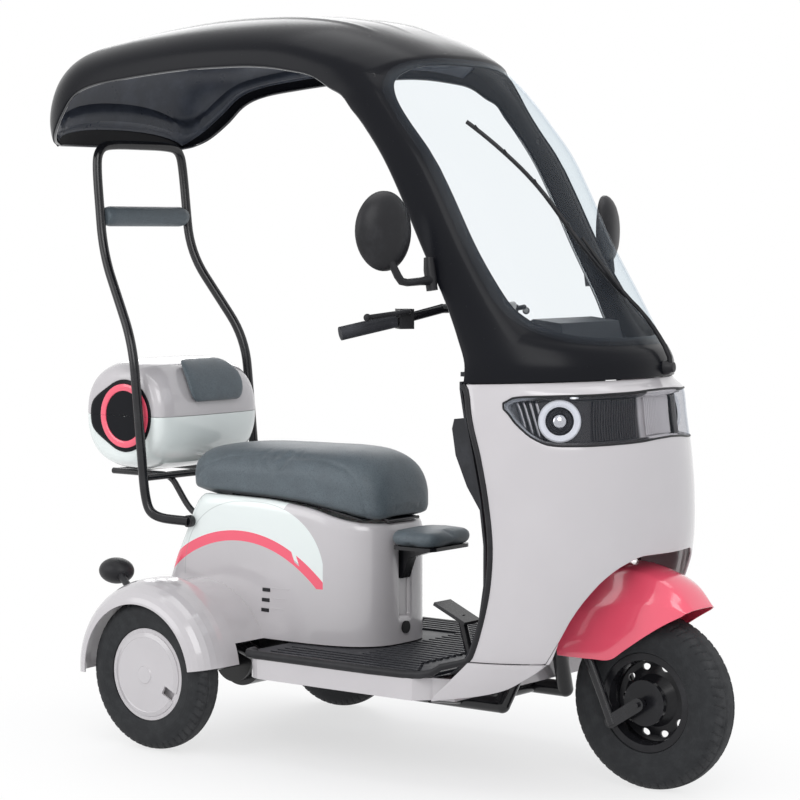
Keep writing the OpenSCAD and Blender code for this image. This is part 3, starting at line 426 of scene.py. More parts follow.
@dataclass(frozen=True)
class ClearScreen:
    """Thin clear plastic that is darker and bluer where it is seen edge on."""

    name: str
    tint: Colour = (0.955, 0.975, 0.985)
    least: float = 0.03
    most: float = 0.4
    rim: Colour = (0.6, 0.68, 0.77)
    fall: float = 7.0

    def material(self) -> bpy.types.Material:
        """Returns the node material."""
        sh = Shader(self.name)
        facing = sh.node("ShaderNodeLayerWeight", {}, {"Blend": 0.3}, 1)
        edge = facing ** self.fall
        clear = sh.node("ShaderNodeBsdfTransparent", {}, {0: sh.blend(edge, self.tint, self.rim)})
        sh.set({"Base Color": (0.3, 0.34, 0.4), "Roughness": 0.05, "Coat Weight": 0.0, "IOR": 1.45})
        share = (edge * (self.most - self.least) + self.least).least(1.0)
        joined = sh.node("ShaderNodeMixShader", {}, {0: share, 1: clear})
        sh.links.new(sh.surface.outputs[0], joined.socket.node.inputs[2])
        sh.links.new(joined.socket, sh.output.inputs["Surface"])
        sh.bump(sh.noise(7.0, 2.0), 0.002, 0.2)
        return sh.material


@dataclass(frozen=True)
class Metal:
    """Bare or plated metal."""

    name: str
    colour: Colour
    rough: float = 0.25

    def material(self) -> bpy.types.Material:
        """Returns the node material."""
        sh = Shader(self.name)
        scratch = sh.noise(120.0, 4.0, 0.6, (1.0, 1.0, 12.0))
        sh.set({"Base Color": self.colour, "Metallic": 1.0, "Roughness": self.rough + scratch * 0.15})
        sh.bump(scratch, 0.00008, 0.5)
        return sh.material


@dataclass(frozen=True)
class LampGlow:
    """White light guide that glows faintly."""

    name: str
    colour: Colour
    glow: float = 0.25

    def material(self) -> bpy.types.Material:
        """Returns the node material."""
        sh = Shader(self.name)
        haze = sh.noise(180.0, 2.0)
        sh.set({"Base Color": sh.blend(haze, self.colour, tuple(c * 0.86 for c in self.colour)),
                "Roughness": 0.3 + haze * 0.1, "Emission Color": self.colour, "Emission Strength": self.glow})
        return sh.material


# Meshes


@dataclass
class Draft:
    """Vertices and faces gathered for one piece, in metres."""

    verts: list[Vector] = field(default_factory=list)
    faces: list[tuple[int, ...]] = field(default_factory=list)

    def grid(self, rows: Sequence[Sequence[Vector]], closed: bool = False,
             keep: Callable[[int, int], bool] | None = None) -> list[list[int]]:
        """Adds a sheet of quads.

        Args:
            rows: Rows of points of one length.
            closed: Whether each row runs round.
            keep: Says which cell of row i and column j is filled.

        Returns:
            The vertex numbers, row by row.
        """
        start = len(self.verts)
        wide = len(rows[0])
        for row in rows:
            self.verts.extend(Vector(p) for p in row)
        ids = [[start + i * wide + j for j in range(wide)] for i in range(len(rows))]
        for i in range(len(rows) - 1):
            for j in range(wide if closed else wide - 1):
                k = (j + 1) % wide
                if keep is None or keep(i, j):
                    self.faces.append((ids[i][j], ids[i + 1][j], ids[i + 1][k], ids[i][k]))
        return ids

    def cap(self, ring: Sequence[int], dome: float = 0.0, toward: Vector | None = None) -> None:
        """Closes a ring of vertices with a fan.

        Args:
            ring: The ring's vertex numbers.
            dome: How far the middle stands out.
            toward: Direction in which it stands out.
        """
        middle = sum((self.verts[i] for i in ring), Vector()) / len(ring)
        if toward is not None:
            middle = middle + toward.normalized() * dome
        self.verts.append(middle)
        centre = len(self.verts) - 1
        for a, b in zip(ring, [*ring[1:], ring[0]]):
            self.faces.append((a, b, centre))

    def tube(self, path: Sequence[Vector], radius: "float | Sequence[float]", sides: int = 16,
             ends: bool = True) -> None:
        """Sweeps a round section along a path.

        Args:
            path: Points of the middle line.
            radius: One radius, or one for each point, in metres.
            sides: Number of sides.
            ends: Whether the ends are closed.
        """
        radii = [radius] * len(path) if isinstance(radius, (int, float)) else list(radius)
        ahead = [(path[min(i + 1, len(path) - 1)] - path[max(i - 1, 0)]).normalized() for i in range(len(path))]
        side = ahead[0].orthogonal().normalized()
        rings = []
        for i, p in enumerate(path):
            side = (side - ahead[i] * side.dot(ahead[i])).normalized()
            other = ahead[i].cross(side)
            turns = [2 * math.pi * k / sides for k in range(sides)]
            rings.append([p + (side * math.cos(t) + other * math.sin(t)) * radii[i] for t in turns])
        ids = self.grid(rings, closed=True)
        if ends:
            self.cap(ids[0][::-1])
            self.cap(ids[-1])

    def turned(self, profile: Sequence[tuple[float, float]], centre: Vector, axis: Vector, sides: int = 64,
               close: bool = False, ripple: Callable[[float, float, float], float] | None = None) -> None:
        """Turns a profile about an axis.

        Args:
            profile: Radius and place along the axis, in metres.
            centre: A point on the axis.
            axis: The axis.
            sides: Number of steps round.
            close: Whether the profile's ends are joined.
            ripple: Extra radius by angle, radius and place.
        """
        axis = axis.normalized()
        side = Vector((0, 0, 1)) if abs(axis.z) < 0.9 else Vector((1, 0, 0))
        side = (side - axis * side.dot(axis)).normalized()
        other = axis.cross(side)
        points = list(profile) + ([profile[0]] if close else [])
        rows = []
        for r, h in points:
            row = []
            for k in range(sides):
                t = 2 * math.pi * k / sides
                rr = r + (ripple(t, r, h) if ripple else 0.0)
                row.append(centre + axis * h + (side * math.cos(t) + other * math.sin(t)) * rr)
            rows.append(row)
        self.grid(rows, closed=True)

    def block(self, centre: Vector, size: Point, turn: Matrix | None = None) -> None:
        """Adds a box, which a bevel on the piece then rounds.

        Args:
            centre: Its middle.
            size: Its sides.
            turn: A rotation about its middle.
        """
        corners = [Vector((x, y, z)) for x in (-0.5, 0.5) for y in (-0.5, 0.5) for z in (-0.5, 0.5)]
        start = len(self.verts)
        for c in corners:
            p = Vector((c.x * size[0], c.y * size[1], c.z * size[2]))
            self.verts.append(centre + (turn @ p if turn else p))
        for quad in ((0, 1, 3, 2), (4, 6, 7, 5), (0, 4, 5, 1), (2, 3, 7, 6), (0, 2, 6, 4), (1, 5, 7, 3)):
            self.faces.append(tuple(start + q for q in quad))

    def mirrored(self) -> None:
        """Adds the same again on the other side of the vehicle."""
        start = len(self.verts)
        self.verts.extend(Vector((v.x, -v.y, v.z)) for v in self.verts[:start])
        self.faces.extend(tuple(i + start for i in reversed(f)) for f in self.faces[:])

    def piece(self, name: str, body: str, finish: "Finish", replaces: Sequence[str] = (),
              sharp: float = 35.0, bevel: float = 0.0, wall: float = 0.0, smooth: int = 0,
              flip: bool = False) -> bpy.types.Object:
        """Makes the object, hangs it on its body and hides the nodes that it stands for.

        Args:
            name: The piece's name.
            body: The body it rides on.
            finish: Its finish.
            replaces: Nodes that it stands for.
            sharp: Edges that bend by more than this angle stay sharp, in degrees.
            bevel: Radius of its rounded edges, in metres.
            wall: Thickness that is given to an open sheet, inwards, in metres.
            smooth: Levels of subdivision.
            flip: Whether the faces are turned over first.

        Returns:
            The new object.
        """
        mesh = bpy.data.meshes.new(name)
        mesh.from_pydata([tuple(v) for v in self.verts], [], self.faces)
        work = bmesh.new()
        work.from_mesh(mesh)
        bmesh.ops.remove_doubles(work, verts=work.verts, dist=2e-6)
        bmesh.ops.dissolve_degenerate(work, edges=work.edges, dist=1e-6)
        if not wall:
            bmesh.ops.recalc_face_normals(work, faces=work.faces)
        if flip:
            bmesh.ops.reverse_faces(work, faces=work.faces)
        for face in work.faces:
            face.smooth = True
        for edge in work.edges:
            bend = edge.calc_face_angle(0.0) if len(edge.link_faces) == 2 else 0.0
            edge.smooth = bend < math.radians(sharp)
        work.to_mesh(mesh)
        work.free()
        made = bpy.data.objects.new(name, mesh)
        bpy.context.scene.collection.objects.link(made)
        mesh.materials.append(finish.material)
        if wall:
            solid = made.modifiers.new("Wall", "SOLIDIFY")
            solid.thickness = wall
            solid.offset = -1.0
            solid.use_even_offset = False
        if bevel:
            rounded = made.modifiers.new("Round", "BEVEL")
            rounded.width = bevel
            rounded.segments = 3
            rounded.limit_method = "ANGLE"
            rounded.angle_limit = math.radians(40)
            rounded.harden_normals = False
        if smooth:
            finer = made.modifiers.new("Finer", "SUBSURF")
            finer.levels = smooth
            finer.render_levels = smooth
        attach(made, body)
        if replaces:
            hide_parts(*replaces)
        log.info("%s: %d faces on %s", name, len(mesh.polygons), body)
        return made


@dataclass(frozen=True)
class Finish:
    """A material with the name of the slot that it belongs to."""

    material: bpy.types.Material
    slot: str


def seat_base_paint(sh: Shader, base: Val) -> Val:
    """Paints the pale band, the coral stripe and its notch on the seat base's sides, with a thin line of painted shade
    along the raised dome's edge.

    Args:
        sh: The material.
        base: The colour below.

    Returns:
        The painted colour.
    """
    x, _, z = sh.place()
    s = (x - REAR_AXLE_X) * 1000.0
    h = z * 1000.0
    arc_s, arc_h = s - 100.0, h - 161.0
    out = (arc_s * arc_s + arc_h * arc_h).root()
    dome = (abs(s - 140.0) / 222.0) ** 2.4 + (abs(h - 400.0) / 195.0) ** 2.4
    front = s.below(357.0) * h.above(396.0)
    inside = dome.below(1.0) * out.above(347.0) * front
    above = dome.above(1.0) * out.above(347.0) * h.above(400.0) * (s - h * 0.6).below(249.0 - 599.0 * 0.6)
    notch = abs(s - 274.0 + (h - 472.0) * 0.4).below(5.5) * out.above(343.0)
    coral = out.above(335.0) * out.below(360.0) * front * (1.0 - notch)
    # Painted shade: a thin dark line along the raised dome's edge, standing in for the shade there.
    crease_shade = abs(dome - 1.0).below(0.014) * s.below(243.0) * h.above(400.0)
    side = sh.blend((inside + above).least(1.0), base, MINT)
    side = sh.blend(coral, side, CORAL)
    # Blends in the dark grey painted shade at 35% along that line.
    return sh.blend(crease_shade * 0.35, side, (0.25, 0.28, 0.27))


def lamp_tray_paint(sh: Shader, base: Val) -> Val:
    """Paints the lamp tray: pale reflectors in the middle and at the tips, smoked between them.

    Args:
        sh: The material.
        base: The colour below.

    Returns:
        The painted colour.
    """
    _, y, _ = sh.place()
    aside = abs(y) * 1000.0
    middle = 1.0 - sh.soften(aside, 56.0, 66.0)
    tips = sh.soften(aside, 256.0, 270.0)
    tone = sh.blend(middle * 0.95, base, (0.8, 0.77, 0.77))
    return sh.blend(tips, tone, (0.44, 0.46, 0.49))


class Finishes:
    """All finishes, made once."""

    def __init__(self) -> None:
        """Builds every material."""
        self.greige = Finish(Gloss("greige_gloss", GREIGE).material(), "body_grey")
        self.base = Finish(Gloss("seat_base_gloss", GREIGE, paint=seat_base_paint).material(), "body_grey")
        self.mint = Finish(Gloss("mint_gloss", MINT).material(), "mint_white")
        self.coral = Finish(Gloss("coral_gloss", CORAL, 0.14, 0.8).material(), "coral_pink")
        self.roof = Finish(Gloss("roof_gloss", INK, 0.24, 0.0, shine=0.13).material(), "roof_black")
        self.lip = Finish(Gloss("roof_lip_gloss", (0.03, 0.032, 0.037), 0.1, 1.0).material(), "roof_black")
        self.liner = Finish(Satin("roof_liner_satin", (0.04, 0.047, 0.064), 0.3, shine=0.4).material(), "roof_black")
        self.trim = Finish(Satin("trim_satin", (0.014, 0.014, 0.016)).material(), "trim_black")
        self.tray = Finish(Gloss("lamp_tray_smoke", (0.03, 0.026, 0.026), 0.3, 0.2, lamp_tray_paint).material(),
                           "trim_black")
        self.inner = Finish(Satin("inner_grain", (0.022, 0.023, 0.027), 0.5, 420.0, 0.0003).material(), "trim_black")
        self.frame = Finish(Satin("tube_paint", (0.009, 0.009, 0.011), 0.2, 500.0, 0.00005, shine=0.45).material(), "frame_black")
        self.mat = Finish(Satin("mat_rubber", (0.026, 0.027, 0.032), 0.55, 700.0, 0.0002).material(), "rubber_mat")
        self.wheel = Finish(Satin("wheel_enamel", (0.012, 0.012, 0.014), 0.22, 400.0, 0.00006).material(), "wheel_black")
        self.rim = Finish(Gloss("rim_enamel", GREIGE, 0.25, 0.3).material(), "wheel_grey")
        self.seat = Finish(SeatCover("seat_cover", SLATE).material(), "seat_grey")
        self.glass = Finish(ClearScreen("clear_screen").material(), "screen_glass")
        self.lens = Finish(ClearScreen("lamp_lens", (0.88, 0.88, 0.89), 0.03, 0.3).material(), "screen_glass")
        self.steel = Finish(Metal("bright_steel", (0.62, 0.62, 0.63)).material(), "spring_steel")
        self.mirror = Finish(Metal("mirror_face", (0.85, 0.87, 0.9), 0.03).material(), "trim_black")
        self.glow = Finish(LampGlow("ring_guide", (0.92, 0.94, 0.97)).material(), "ring_white")
        self.red = Finish(Gloss("tail_red", (0.42, 0.012, 0.02)).material(), "tail_red")
        self.battery = Finish(Satin("battery_case", (0.03, 0.032, 0.036), 0.5).material(), "battery_case")
        self.springs = Finish(Metal("dark_spring", (0.2, 0.2, 0.21), 0.35).material(), "spring_steel")


CANOPY_ROWS = (
    (851, 918, 1188, 930, 2, 2.0, 83), (847, 965, 1185, 968, 2, 2.0, 82), (816, 1018, 1151, 1020, 1, 2.0, 80),
    (792, 1062, 1123, 1062, 0, 2.0, 79), (764, 1110, 1092, 1110, 0, 2.0, 78), (694, 1220, 1022, 1220, 0, 2.0, 76.5),
    (626, 1345, 954, 1346, 0, 2.0, 76), (576, 1425, 902, 1430, 0, 2.05, 76), (524, 1490, 828, 1512, 0, 2.15, 76),
    (500, 1528, 777, 1562, 0, 2.25, 78), (490, 1555, 727, 1605, 0, 2.35, 80), (470, 1574, 690, 1636, 0, 2.4, 83),
    (440, 1603, 640, 1672, 1, 2.45, 86), (400, 1622, 560, 1712, 3, 2.5, 89), (300, 1640, 457, 1745, 6, 2.6, 90),
    (188, 1643, 300, 1765, 10, 2.6, 90), (50, 1640, 101, 1768, 13, 2.6, 90), (-110, 1628, -80, 1756, 15, 2.6, 90),
    (-230, 1614, -230, 1738, 15, 2.6, 90), (-300, 1590, -330, 1722, 12, 2.6, 90), (-350, 1545, -405, 1695, 2, 2.5, 90),
    (-395, 1505, -450, 1650, -20, 2.4, 90), (-425, 1485, -472, 1590, -48, 2.3, 90), (-442, 1477, -475, 1520, -75, 2.2, 90),
    (-447, 1474, -472, 1476, -85, 2.2, 90))
BODY_HALF = 310.0


def canopy_point(v: float, a: float, lift: float = 0.0) -> Vector:
    """Finds a point of the canopy.

    Args:
        v: Fractional row of the canopy's table.
        a: Angle from the middle, in degrees.
        lift: Distance outwards from the surface, in millimetres.

    Returns:
        The point in metres.
    """
    def bare(v: float, a: float) -> Vector:
        """Returns the point on the surface."""
        row = curve_at(CANOPY_ROWS, v)
        k = 2 / row[5]
        f = max(math.cos(math.radians(a)), 0.0) ** k
        g = signed_power(math.sin(math.radians(a)), k)
        return at(mix(row[0], row[2], f), (BODY_HALF + row[4]) * g, mix(row[1], row[3], f))

    p = bare(v, a)
    if not lift:
        return p
    dv, da = 0.05, 1.0
    v0 = min(max(v, dv), len(CANOPY_ROWS) - 1 - dv)
    a0 = math.copysign(min(abs(a), 87.0), a)
    up = bare(v0 + dv, a0) - bare(v0 - dv, a0)
    across = bare(v0, a0 + da) - bare(v0, a0 - da)
    return p + across.cross(up).normalized() * lift * MM


OPEN_ANGLES = ((2.0, 54.5), (6.0, 55.0), (9.0, 56.0), (11.3, 54.0))
RIB_SIDES = (-165.0, -55.0, 55.0, 165.0)
RIB_START, RIB_END = 13.2, 19.4


def edge_angle(v: float) -> float:
    """Returns the angle at which the canopy ends in a fractional row."""
    return float(curve_at(CANOPY_ROWS, v)[6])


def across_angle(v: float, w: float) -> float:
    """Returns the angle in a fractional row at the share w of its half width."""
    power = float(curve_at(CANOPY_ROWS, v)[5])
    turn = math.degrees(math.asin(min(abs(w), 1.0) ** (power / 2)))
    return math.copysign(turn * edge_angle(v) / 90, w)


def opening(turn: float, grow: float = 0.0) -> tuple[float, float]:
    """Finds a point on the edge of the screen's opening.

    Args:
        turn: Place round the edge, in radians, from the rider's left.
        grow: How far outside the edge it lies, as a share of its size.

    Returns:
        The canopy's fractional row and angle there.
    """
    low, high, power = 2.0, 11.25, 2 / 4
    mid, half = (low + high) / 2, (high - low) / 2
    v = mid + half * (1 + grow * 0.75) * signed_power(math.sin(turn), power)
    a = value_at(OPEN_ANGLES, v) * (1 + grow) * signed_power(math.cos(turn), power)
    return v, a


@dataclass
class Roof:
    """Canopy with its pillars, lining, screen and wiper."""

    looks: Finishes
    band_rows: float = 12.6
    around: int = 448
    rings: int = 14
    recess: float = 7.0
    wall: float = 0.005

    def build(self) -> None:
        """Makes every piece of the roof."""
        self.shell()
        self.lip()
        self.lining()
        self.screen()
        self.wiper()
        self.fasteners()

    def border(self, count: int) -> list[tuple[float, float]]:
        """Returns the pillar zone's outer border as rows and angles, starting at the rider's left."""
        quarter = count // 4
        top, points = self.band_rows, []
        for k in range(count):
            side, t = divmod((k + quarter / 2) / quarter, 1.0)
            if side % 4 == 0:
                points.append((top * t, edge_angle(top * t)))
            elif side % 4 == 1:
                points.append((top, across_angle(top, math.sin(math.pi / 2 * (1 - 2 * t)))))
            elif side % 4 == 2:
                points.append((top * (1 - t), -edge_angle(top * (1 - t))))
            else:
                points.append((0.0, -edge_angle(0.0) * (1 - 2 * t)))
        return points

    def relief(self, v: float, a: float) -> float:
        """Returns how far the roof's top stands out in ribs, in millimetres."""
        if not RIB_START < v < RIB_END:
            return 0.0
        row = curve_at(CANOPY_ROWS, v)
        side = (BODY_HALF + row[4]) * signed_power(math.sin(math.radians(a)), 2 / row[5])
        rise = math.sin(math.pi * (v - RIB_START) / (RIB_END - RIB_START)) ** 0.6
        return 4.0 * rise * sum(bell(side - middle, 15.0) for middle in RIB_SIDES)

    def shell(self) -> None:
        """Makes the canopy's outer panel with the screen's opening and the ribs on its top."""
        draft = Draft()
        border = self.border(self.around)
        rows = []
        for i in range(self.rings + 1):
            t = (i / self.rings) ** 1.15
            ring = []
            for k, (bv, ba) in enumerate(border):
                ov, oa = opening(2 * math.pi * k / self.around)
                v, a = mix(ov, bv, t), mix(oa, ba, t)
                sunk = self.recess * (1 - min(t / 0.3, 1.0)) ** 0.5 if t < 0.3 else 0.0
                ring.append(canopy_point(v, a, -sunk + self.relief(v, a)))
            rows.append(ring)
        draft.grid(rows, closed=True)
        last = len(CANOPY_ROWS) - 1
        steps, wide = 56, self.around // 4
        back = []
        for i in range(steps + 1):
            v = mix(self.band_rows, last, i / steps)
            shares = [math.sin(math.pi / 2 * (1 - 2 * j / wide)) for j in range(wide + 1)]
            angles = [across_angle(v, w) for w in shares]
            back.append([canopy_point(v, a, self.relief(v, a)) for a in angles])
        draft.grid(back)
        draft.piece("canopy_shell", "root", self.looks.roof, ["canopy"], wall=self.wall, bevel=0.0015, flip=True)

    def lip(self) -> None:
        """Makes the rolled edge along the canopy's sides and tail, which catches the light."""
        draft = Draft()
        last = len(CANOPY_ROWS) - 1
        left = [canopy_point(mix(0.4, last, k / 120), edge_angle(mix(0.4, last, k / 120)), -1.5) for k in range(121)]
        tail = [canopy_point(last, edge_angle(last) * (1 - k / 20), -1.5) for k in range(1, 40)]
        right = [Vector((p.x, -p.y, p.z)) for p in reversed(left)]
        draft.tube(left + tail + right, 0.0034, 10)
        draft.piece("canopy_lip", "root", self.looks.lip)

    def lining(self) -> None:
        """Makes the lining under the roof: a flange that hangs down round a higher ceiling panel."""
        draft = Draft()
        rows = []
        along, wide = 60, 72
        for i in range(along + 1):
            x = 2 * i / along - 1
            v = mix(12.9, 23.0, i / along)
            ring = []
            for j in range(wide + 1):
                w = math.sin(math.pi / 2 * (2 * j / wide - 1)) * 0.995
                rim = (abs(x) ** 7 + abs(2 * j / wide - 1) ** 7) ** (1 / 7)
                depth = value_at(((0.0, 11.0), (0.8, 11.0), (0.85, 22.0), (0.93, 22.0), (0.97, 8.0), (1.2, 6.0)), rim)
                ring.append(canopy_point(v, across_angle(v, w), -depth))
            rows.append(ring)
        draft.grid(rows)
        draft.piece("roof_lining", "root", self.looks.liner, ["roof_liner"], wall=0.002)

    def screen(self) -> None:
        """Makes the clear screen, which laps over the edge of its opening."""
        draft = Draft()
        rows = []
        steps = 22
        for i in range(steps + 1):
            t = i / steps
            ring = []
            for k in range(self.around):
                ov, oa = opening(2 * math.pi * k / self.around, 0.1)
                v, a = mix(6.6, ov, t), oa * t
                ring.append(canopy_point(v, a, 1.6 + 5.5 * (1 - t * t)))
            rows.append(ring)
        draft.grid(rows[1:], closed=True)
        draft.cap(list(range(self.around)))
        draft.piece("screen", "root", self.looks.glass, ["windshield"], wall=-0.003, flip=True)

    def wiper(self) -> None:
        """Makes the wiper's spindle, arm, blade and rubber."""
        arm = Draft()
        path = [canopy_point(mix(0.6, 5.1, t / 12), mix(9, -8, (t / 12) ** 1.6), 18 + 9 * math.sin(math.pi * t / 12))
                for t in range(13)]
        arm.tube(path, [0.0062 - 0.0026 * i / 12 for i in range(13)], 12)
        base = canopy_point(0.6, 9, 0)
        top = canopy_point(0.6, 9, 27)
        arm.turned([(0.0, 0.0), (0.017, 0.0), (0.0165, 0.012), (0.012, 0.02), (0.011, 0.027), (0.0, 0.029)],
                   base, top - base, 32)
        arm.piece("wiper_arm", "root", self.looks.trim, ["wiper"])
        blade = Draft()
        for lift, size in ((9.5, 0.0026), (14.0, 0.0042)):
            line = [self.blade_point(k, lift) for k in range(25)]
            blade.tube(line, size, 8)
        for k in (3, 8, 13, 18, 22):
            low, high = self.blade_point(k, 12), self.blade_point(k + 1, 19)
            blade.tube([low, (low + high) / 2, high], 0.003, 8)
        blade.piece("wiper_blade", "root", self.looks.trim)

    def blade_point(self, k: float, lift: float) -> Vector:
        """Returns the point k of 24 along the wiper blade, lifted from the screen in millimetres."""
        t = k / 24
        return canopy_point(mix(3.9, 7.8, t), mix(3, -33, t ** 0.85), lift)

    def fasteners(self) -> None:
        """Makes the screws round the screen and the small round caps at the front ends of the roof's ribs."""
        draft = Draft()
        for v, a in ((10.9, -58), (10.9, 58), (7.6, -65), (7.6, 65), (0.75, -34), (0.75, 34), (0.62, 0),
                     (1.4, -62), (1.4, 62)):
            base = canopy_point(v, a, -1)
            top = canopy_point(v, a, 3)
            draft.turned([(0.0, 0.0), (0.008, 0.0), (0.0078, 0.0034), (0.0055, 0.0044), (0.0042, 0.0028), (0.0, 0.0028)],
                         base, top - base, 20)
        for side in RIB_SIDES:
            row = curve_at(CANOPY_ROWS, RIB_START)
            a = across_angle(RIB_START, side / (BODY_HALF + row[4]))
            base, top = canopy_point(RIB_START, a, -1), canopy_point(RIB_START, a, 3)
            draft.turned([(0.0, 0.0), (0.007, 0.0), (0.0065, 0.004), (0.0, 0.005)], base, top - base, 16)
        draft.piece("screen_screws", "root", self.looks.trim)


NOSE_ROWS = (
    (925, 851, 1188, 3, 83), (900, 856, 1222, 6, 82), (840, 868, 1230, 10, 82), (760, 878, 1242, 12, 80),
    (670, 892, 1250, 12, 79), (565, 900, 1249, 12, 78), (470, 896, 1232, 11, 78), (390, 886, 1206, 10, 79),
    (310, 862, 1174, 7, 80), (257, 815, 1140, 4, 82), (200, 760, 1088, -2, 83))
ARCH_EDGE = ((0.0, 541), (0.1, 541), (0.22, 540), (0.34, 522), (0.44, 490), (0.52, 442), (0.57, 385), (0.605, 300),
             (0.65, 266), (0.7, 239), (0.8, 221), (0.9, 211), (1.0, 200))
LAMP_LOW = ((0.0, 799), (0.1, 797), (0.22, 792), (0.34, 789), (0.44, 787), (0.52, 786), (0.61, 786), (0.67, 788),
            (0.74, 803), (0.8, 833), (0.85, 866), (0.93, 867), (1.0, 868))
LAMP_HIGH = ((0.0, 907), (0.1, 906), (0.22, 903), (0.34, 901), (0.44, 899), (0.52, 898), (0.61, 897), (0.67, 896),
             (0.74, 895), (0.8, 892), (0.85, 880), (0.93, 877), (1.0, 876))
LAMP_TIP = 0.85


def nose_point(z: float, u: float, lift: float = 0.0) -> Vector:
    """Finds a point of the nose.

    Args:
        z: Height in millimetres.
        u: Share of the edge angle, from -1 on the right to 1 on the left.
        lift: Distance outwards, in millimetres.

    Returns:
        The point in metres.
    """
    heights = [-r[0] for r in NOSE_ROWS]
    v = float(np.interp(-z, heights, range(len(NOSE_ROWS))))
    row = curve_at(NOSE_ROWS, v)
    a = math.radians(u * row[4])
    radius = BODY_HALF + row[3]
    p = at(mix(row[1], row[2], math.cos(a)), radius * math.sin(a), z)
    if not lift:
        return p
    lower, upper = nose_point(z - 4, u), nose_point(z + 4, u)
    right, left = nose_point(z, u - 0.01), nose_point(z, u + 0.01)
    return p + (left - right).cross(upper - lower).normalized() * lift * MM


@dataclass
class Nose:
    """Front shell with its lamp band, lower lip and edge strip."""

    looks: Finishes
    columns: int = 96
    wall: float = 0.005
    seam: float = 300.0
    lamp_depth: float = 34.0
    ring_u: float = 0.604
    ring_z: float = 842.0
    ring_r: float = 48.0

    def build(self) -> None:
        """Makes every piece of the nose."""
        self.shell()
        self.lip()
        self.edge_strip()
        self.lamp_tray()
        self.lamp_ribs()
        self.rings()
        self.lens()

    def top(self, u: float) -> float:
        """Returns the height of the shell's upper edge."""
        return mix(918, 930, math.cos(math.radians(83 * u))) - 1.5

    def shares(self) -> list[float]:
        """Returns the columns' places, with one at each lamp tip."""
        plain = [2 * j / self.columns - 1 for j in range(self.columns + 1)]
        near = {min(range(len(plain)), key=lambda j: abs(plain[j] - tip)): tip for tip in (-LAMP_TIP, LAMP_TIP)}
        return [near.get(j, u) for j, u in enumerate(plain)]

    def shell(self) -> None:
        """Makes the shell between the wheel arch, the lamp band and the screen's cowl."""
        draft = Draft()
        shares = self.shares()
        below, above = 22, 5
        rows = []
        for i in range(below + above + 1):
            row = []
            for u in shares:
                low = max(value_at(ARCH_EDGE, abs(u)), self.seam)
                lamp_low, lamp_high = value_at(LAMP_LOW, abs(u)), value_at(LAMP_HIGH, abs(u))
                if i <= below:
                    z = mix(low, lamp_low, i / below)
                else:
                    z = mix(lamp_high, self.top(u), (i - below - 1) / (above - 1))
                row.append(nose_point(z, u))
            rows.append(row)
        draft.grid(rows, keep=lambda i, j: i != below or abs(shares[j] + shares[j + 1]) / 2 > LAMP_TIP)
        draft.piece("nose_shell", "root", self.looks.greige, ["front_shell"], wall=self.wall, bevel=0.0018, flip=True)

    def lip(self) -> None:
        """Makes the lower lip between the seam and the foot deck."""
        draft = Draft()
        rows = []
        for i in range(9):
            row = []
            for j in range(25):
                u = mix(1.0, 0.585, j / 24)
                row.append(nose_point(mix(value_at(ARCH_EDGE, u), self.seam - 1.4, i / 8), u))
            rows.append(row)
        draft.grid(rows)
        draft.mirrored()
        draft.piece("nose_lip", "root", self.looks.greige, ["lower_nose"], wall=self.wall, bevel=0.0018, flip=True)

    def edge_strip(self) -> None:
        """Makes the black strip along the nose's rear edges, which runs on as the mat's rolled rim."""
        draft = Draft()
        path = [nose_point(mix(916, 300, k / 48), 1.0) + Vector((-0.006, -0.002, 0)) for k in range(49)]
        turn = [(836, 319, 282), (814, 324, 267), (784, 328, 260), (740, 330, 257), (640, 330, 256), (450, 330, 256),
                (300, 330, 256), (274, 326, 256), (263, 312, 256), (260, 290, 256)]
        path += [at(*p) for p in turn]
        radii = [0.0075] * 49 + [mix(0.0078, 0.0105, min(k / 4, 1.0)) for k in range(len(turn))]
        draft.tube(path, radii, 14)
        draft.mirrored()
        draft.piece("edge_strip", "root", self.looks.trim, ["shell_trim"])

    def lamp_rows(self, inset: float, lift: float, steps: int = 8) -> list[list[Vector]]:
        """Returns a grid over the lamp band.

        Args:
            inset: How far inside the band's edge it ends, in millimetres.
            lift: Distance outwards from the nose's surface, in millimetres.
            steps: Number of rows less one.

        Returns:
            Rows of points from the lower to the upper edge.
        """
        wide = LAMP_TIP - inset * 0.0022
        rows = []
        for i in range(steps + 1):
            row = []
            for j in range(81):
                u = mix(-wide, wide, j / 80)
                low = value_at(LAMP_LOW, abs(u)) + inset
                high = value_at(LAMP_HIGH, abs(u)) - inset
                row.append(nose_point(mix(low, max(high, low + 1), i / steps), u, lift))
            rows.append(row)
        return rows

    def lamp_tray(self) -> None:
        """Makes the tray behind the lens with its stepped wall and the black rim round the lens."""
        draft = Draft()
        edges = []
        for inset, lift in ((0.4, -1.5), (4.0, -3.0), (4.5, -12.0), (8.0, -13.0), (9.0, -self.lamp_depth)):
            edges.append(self.around_lamp(inset, lift))
        draft.grid(edges, closed=True)
        draft.grid(self.lamp_rows(9.0, -self.lamp_depth))
        draft.piece("lamp_tray", "root", self.looks.tray, ["lamp_housing"], sharp=25)
        rim = Draft()
        loop = self.around_lamp(1.2, -0.6)
        rim.tube(loop + [loop[0]], 0.0024, 8, ends=False)
        rim.piece("lamp_rim", "root", self.looks.trim)

    def around_lamp(self, inset: float, lift: float) -> list[Vector]:
        """Returns the outline of the lamp band, inset and lifted in millimetres."""
        g = self.lamp_rows(inset, lift)
        return g[0][:] + [r[-1] for r in g[1:]] + g[-1][::-1][1:] + [r[0] for r in g[1:-1]][::-1]

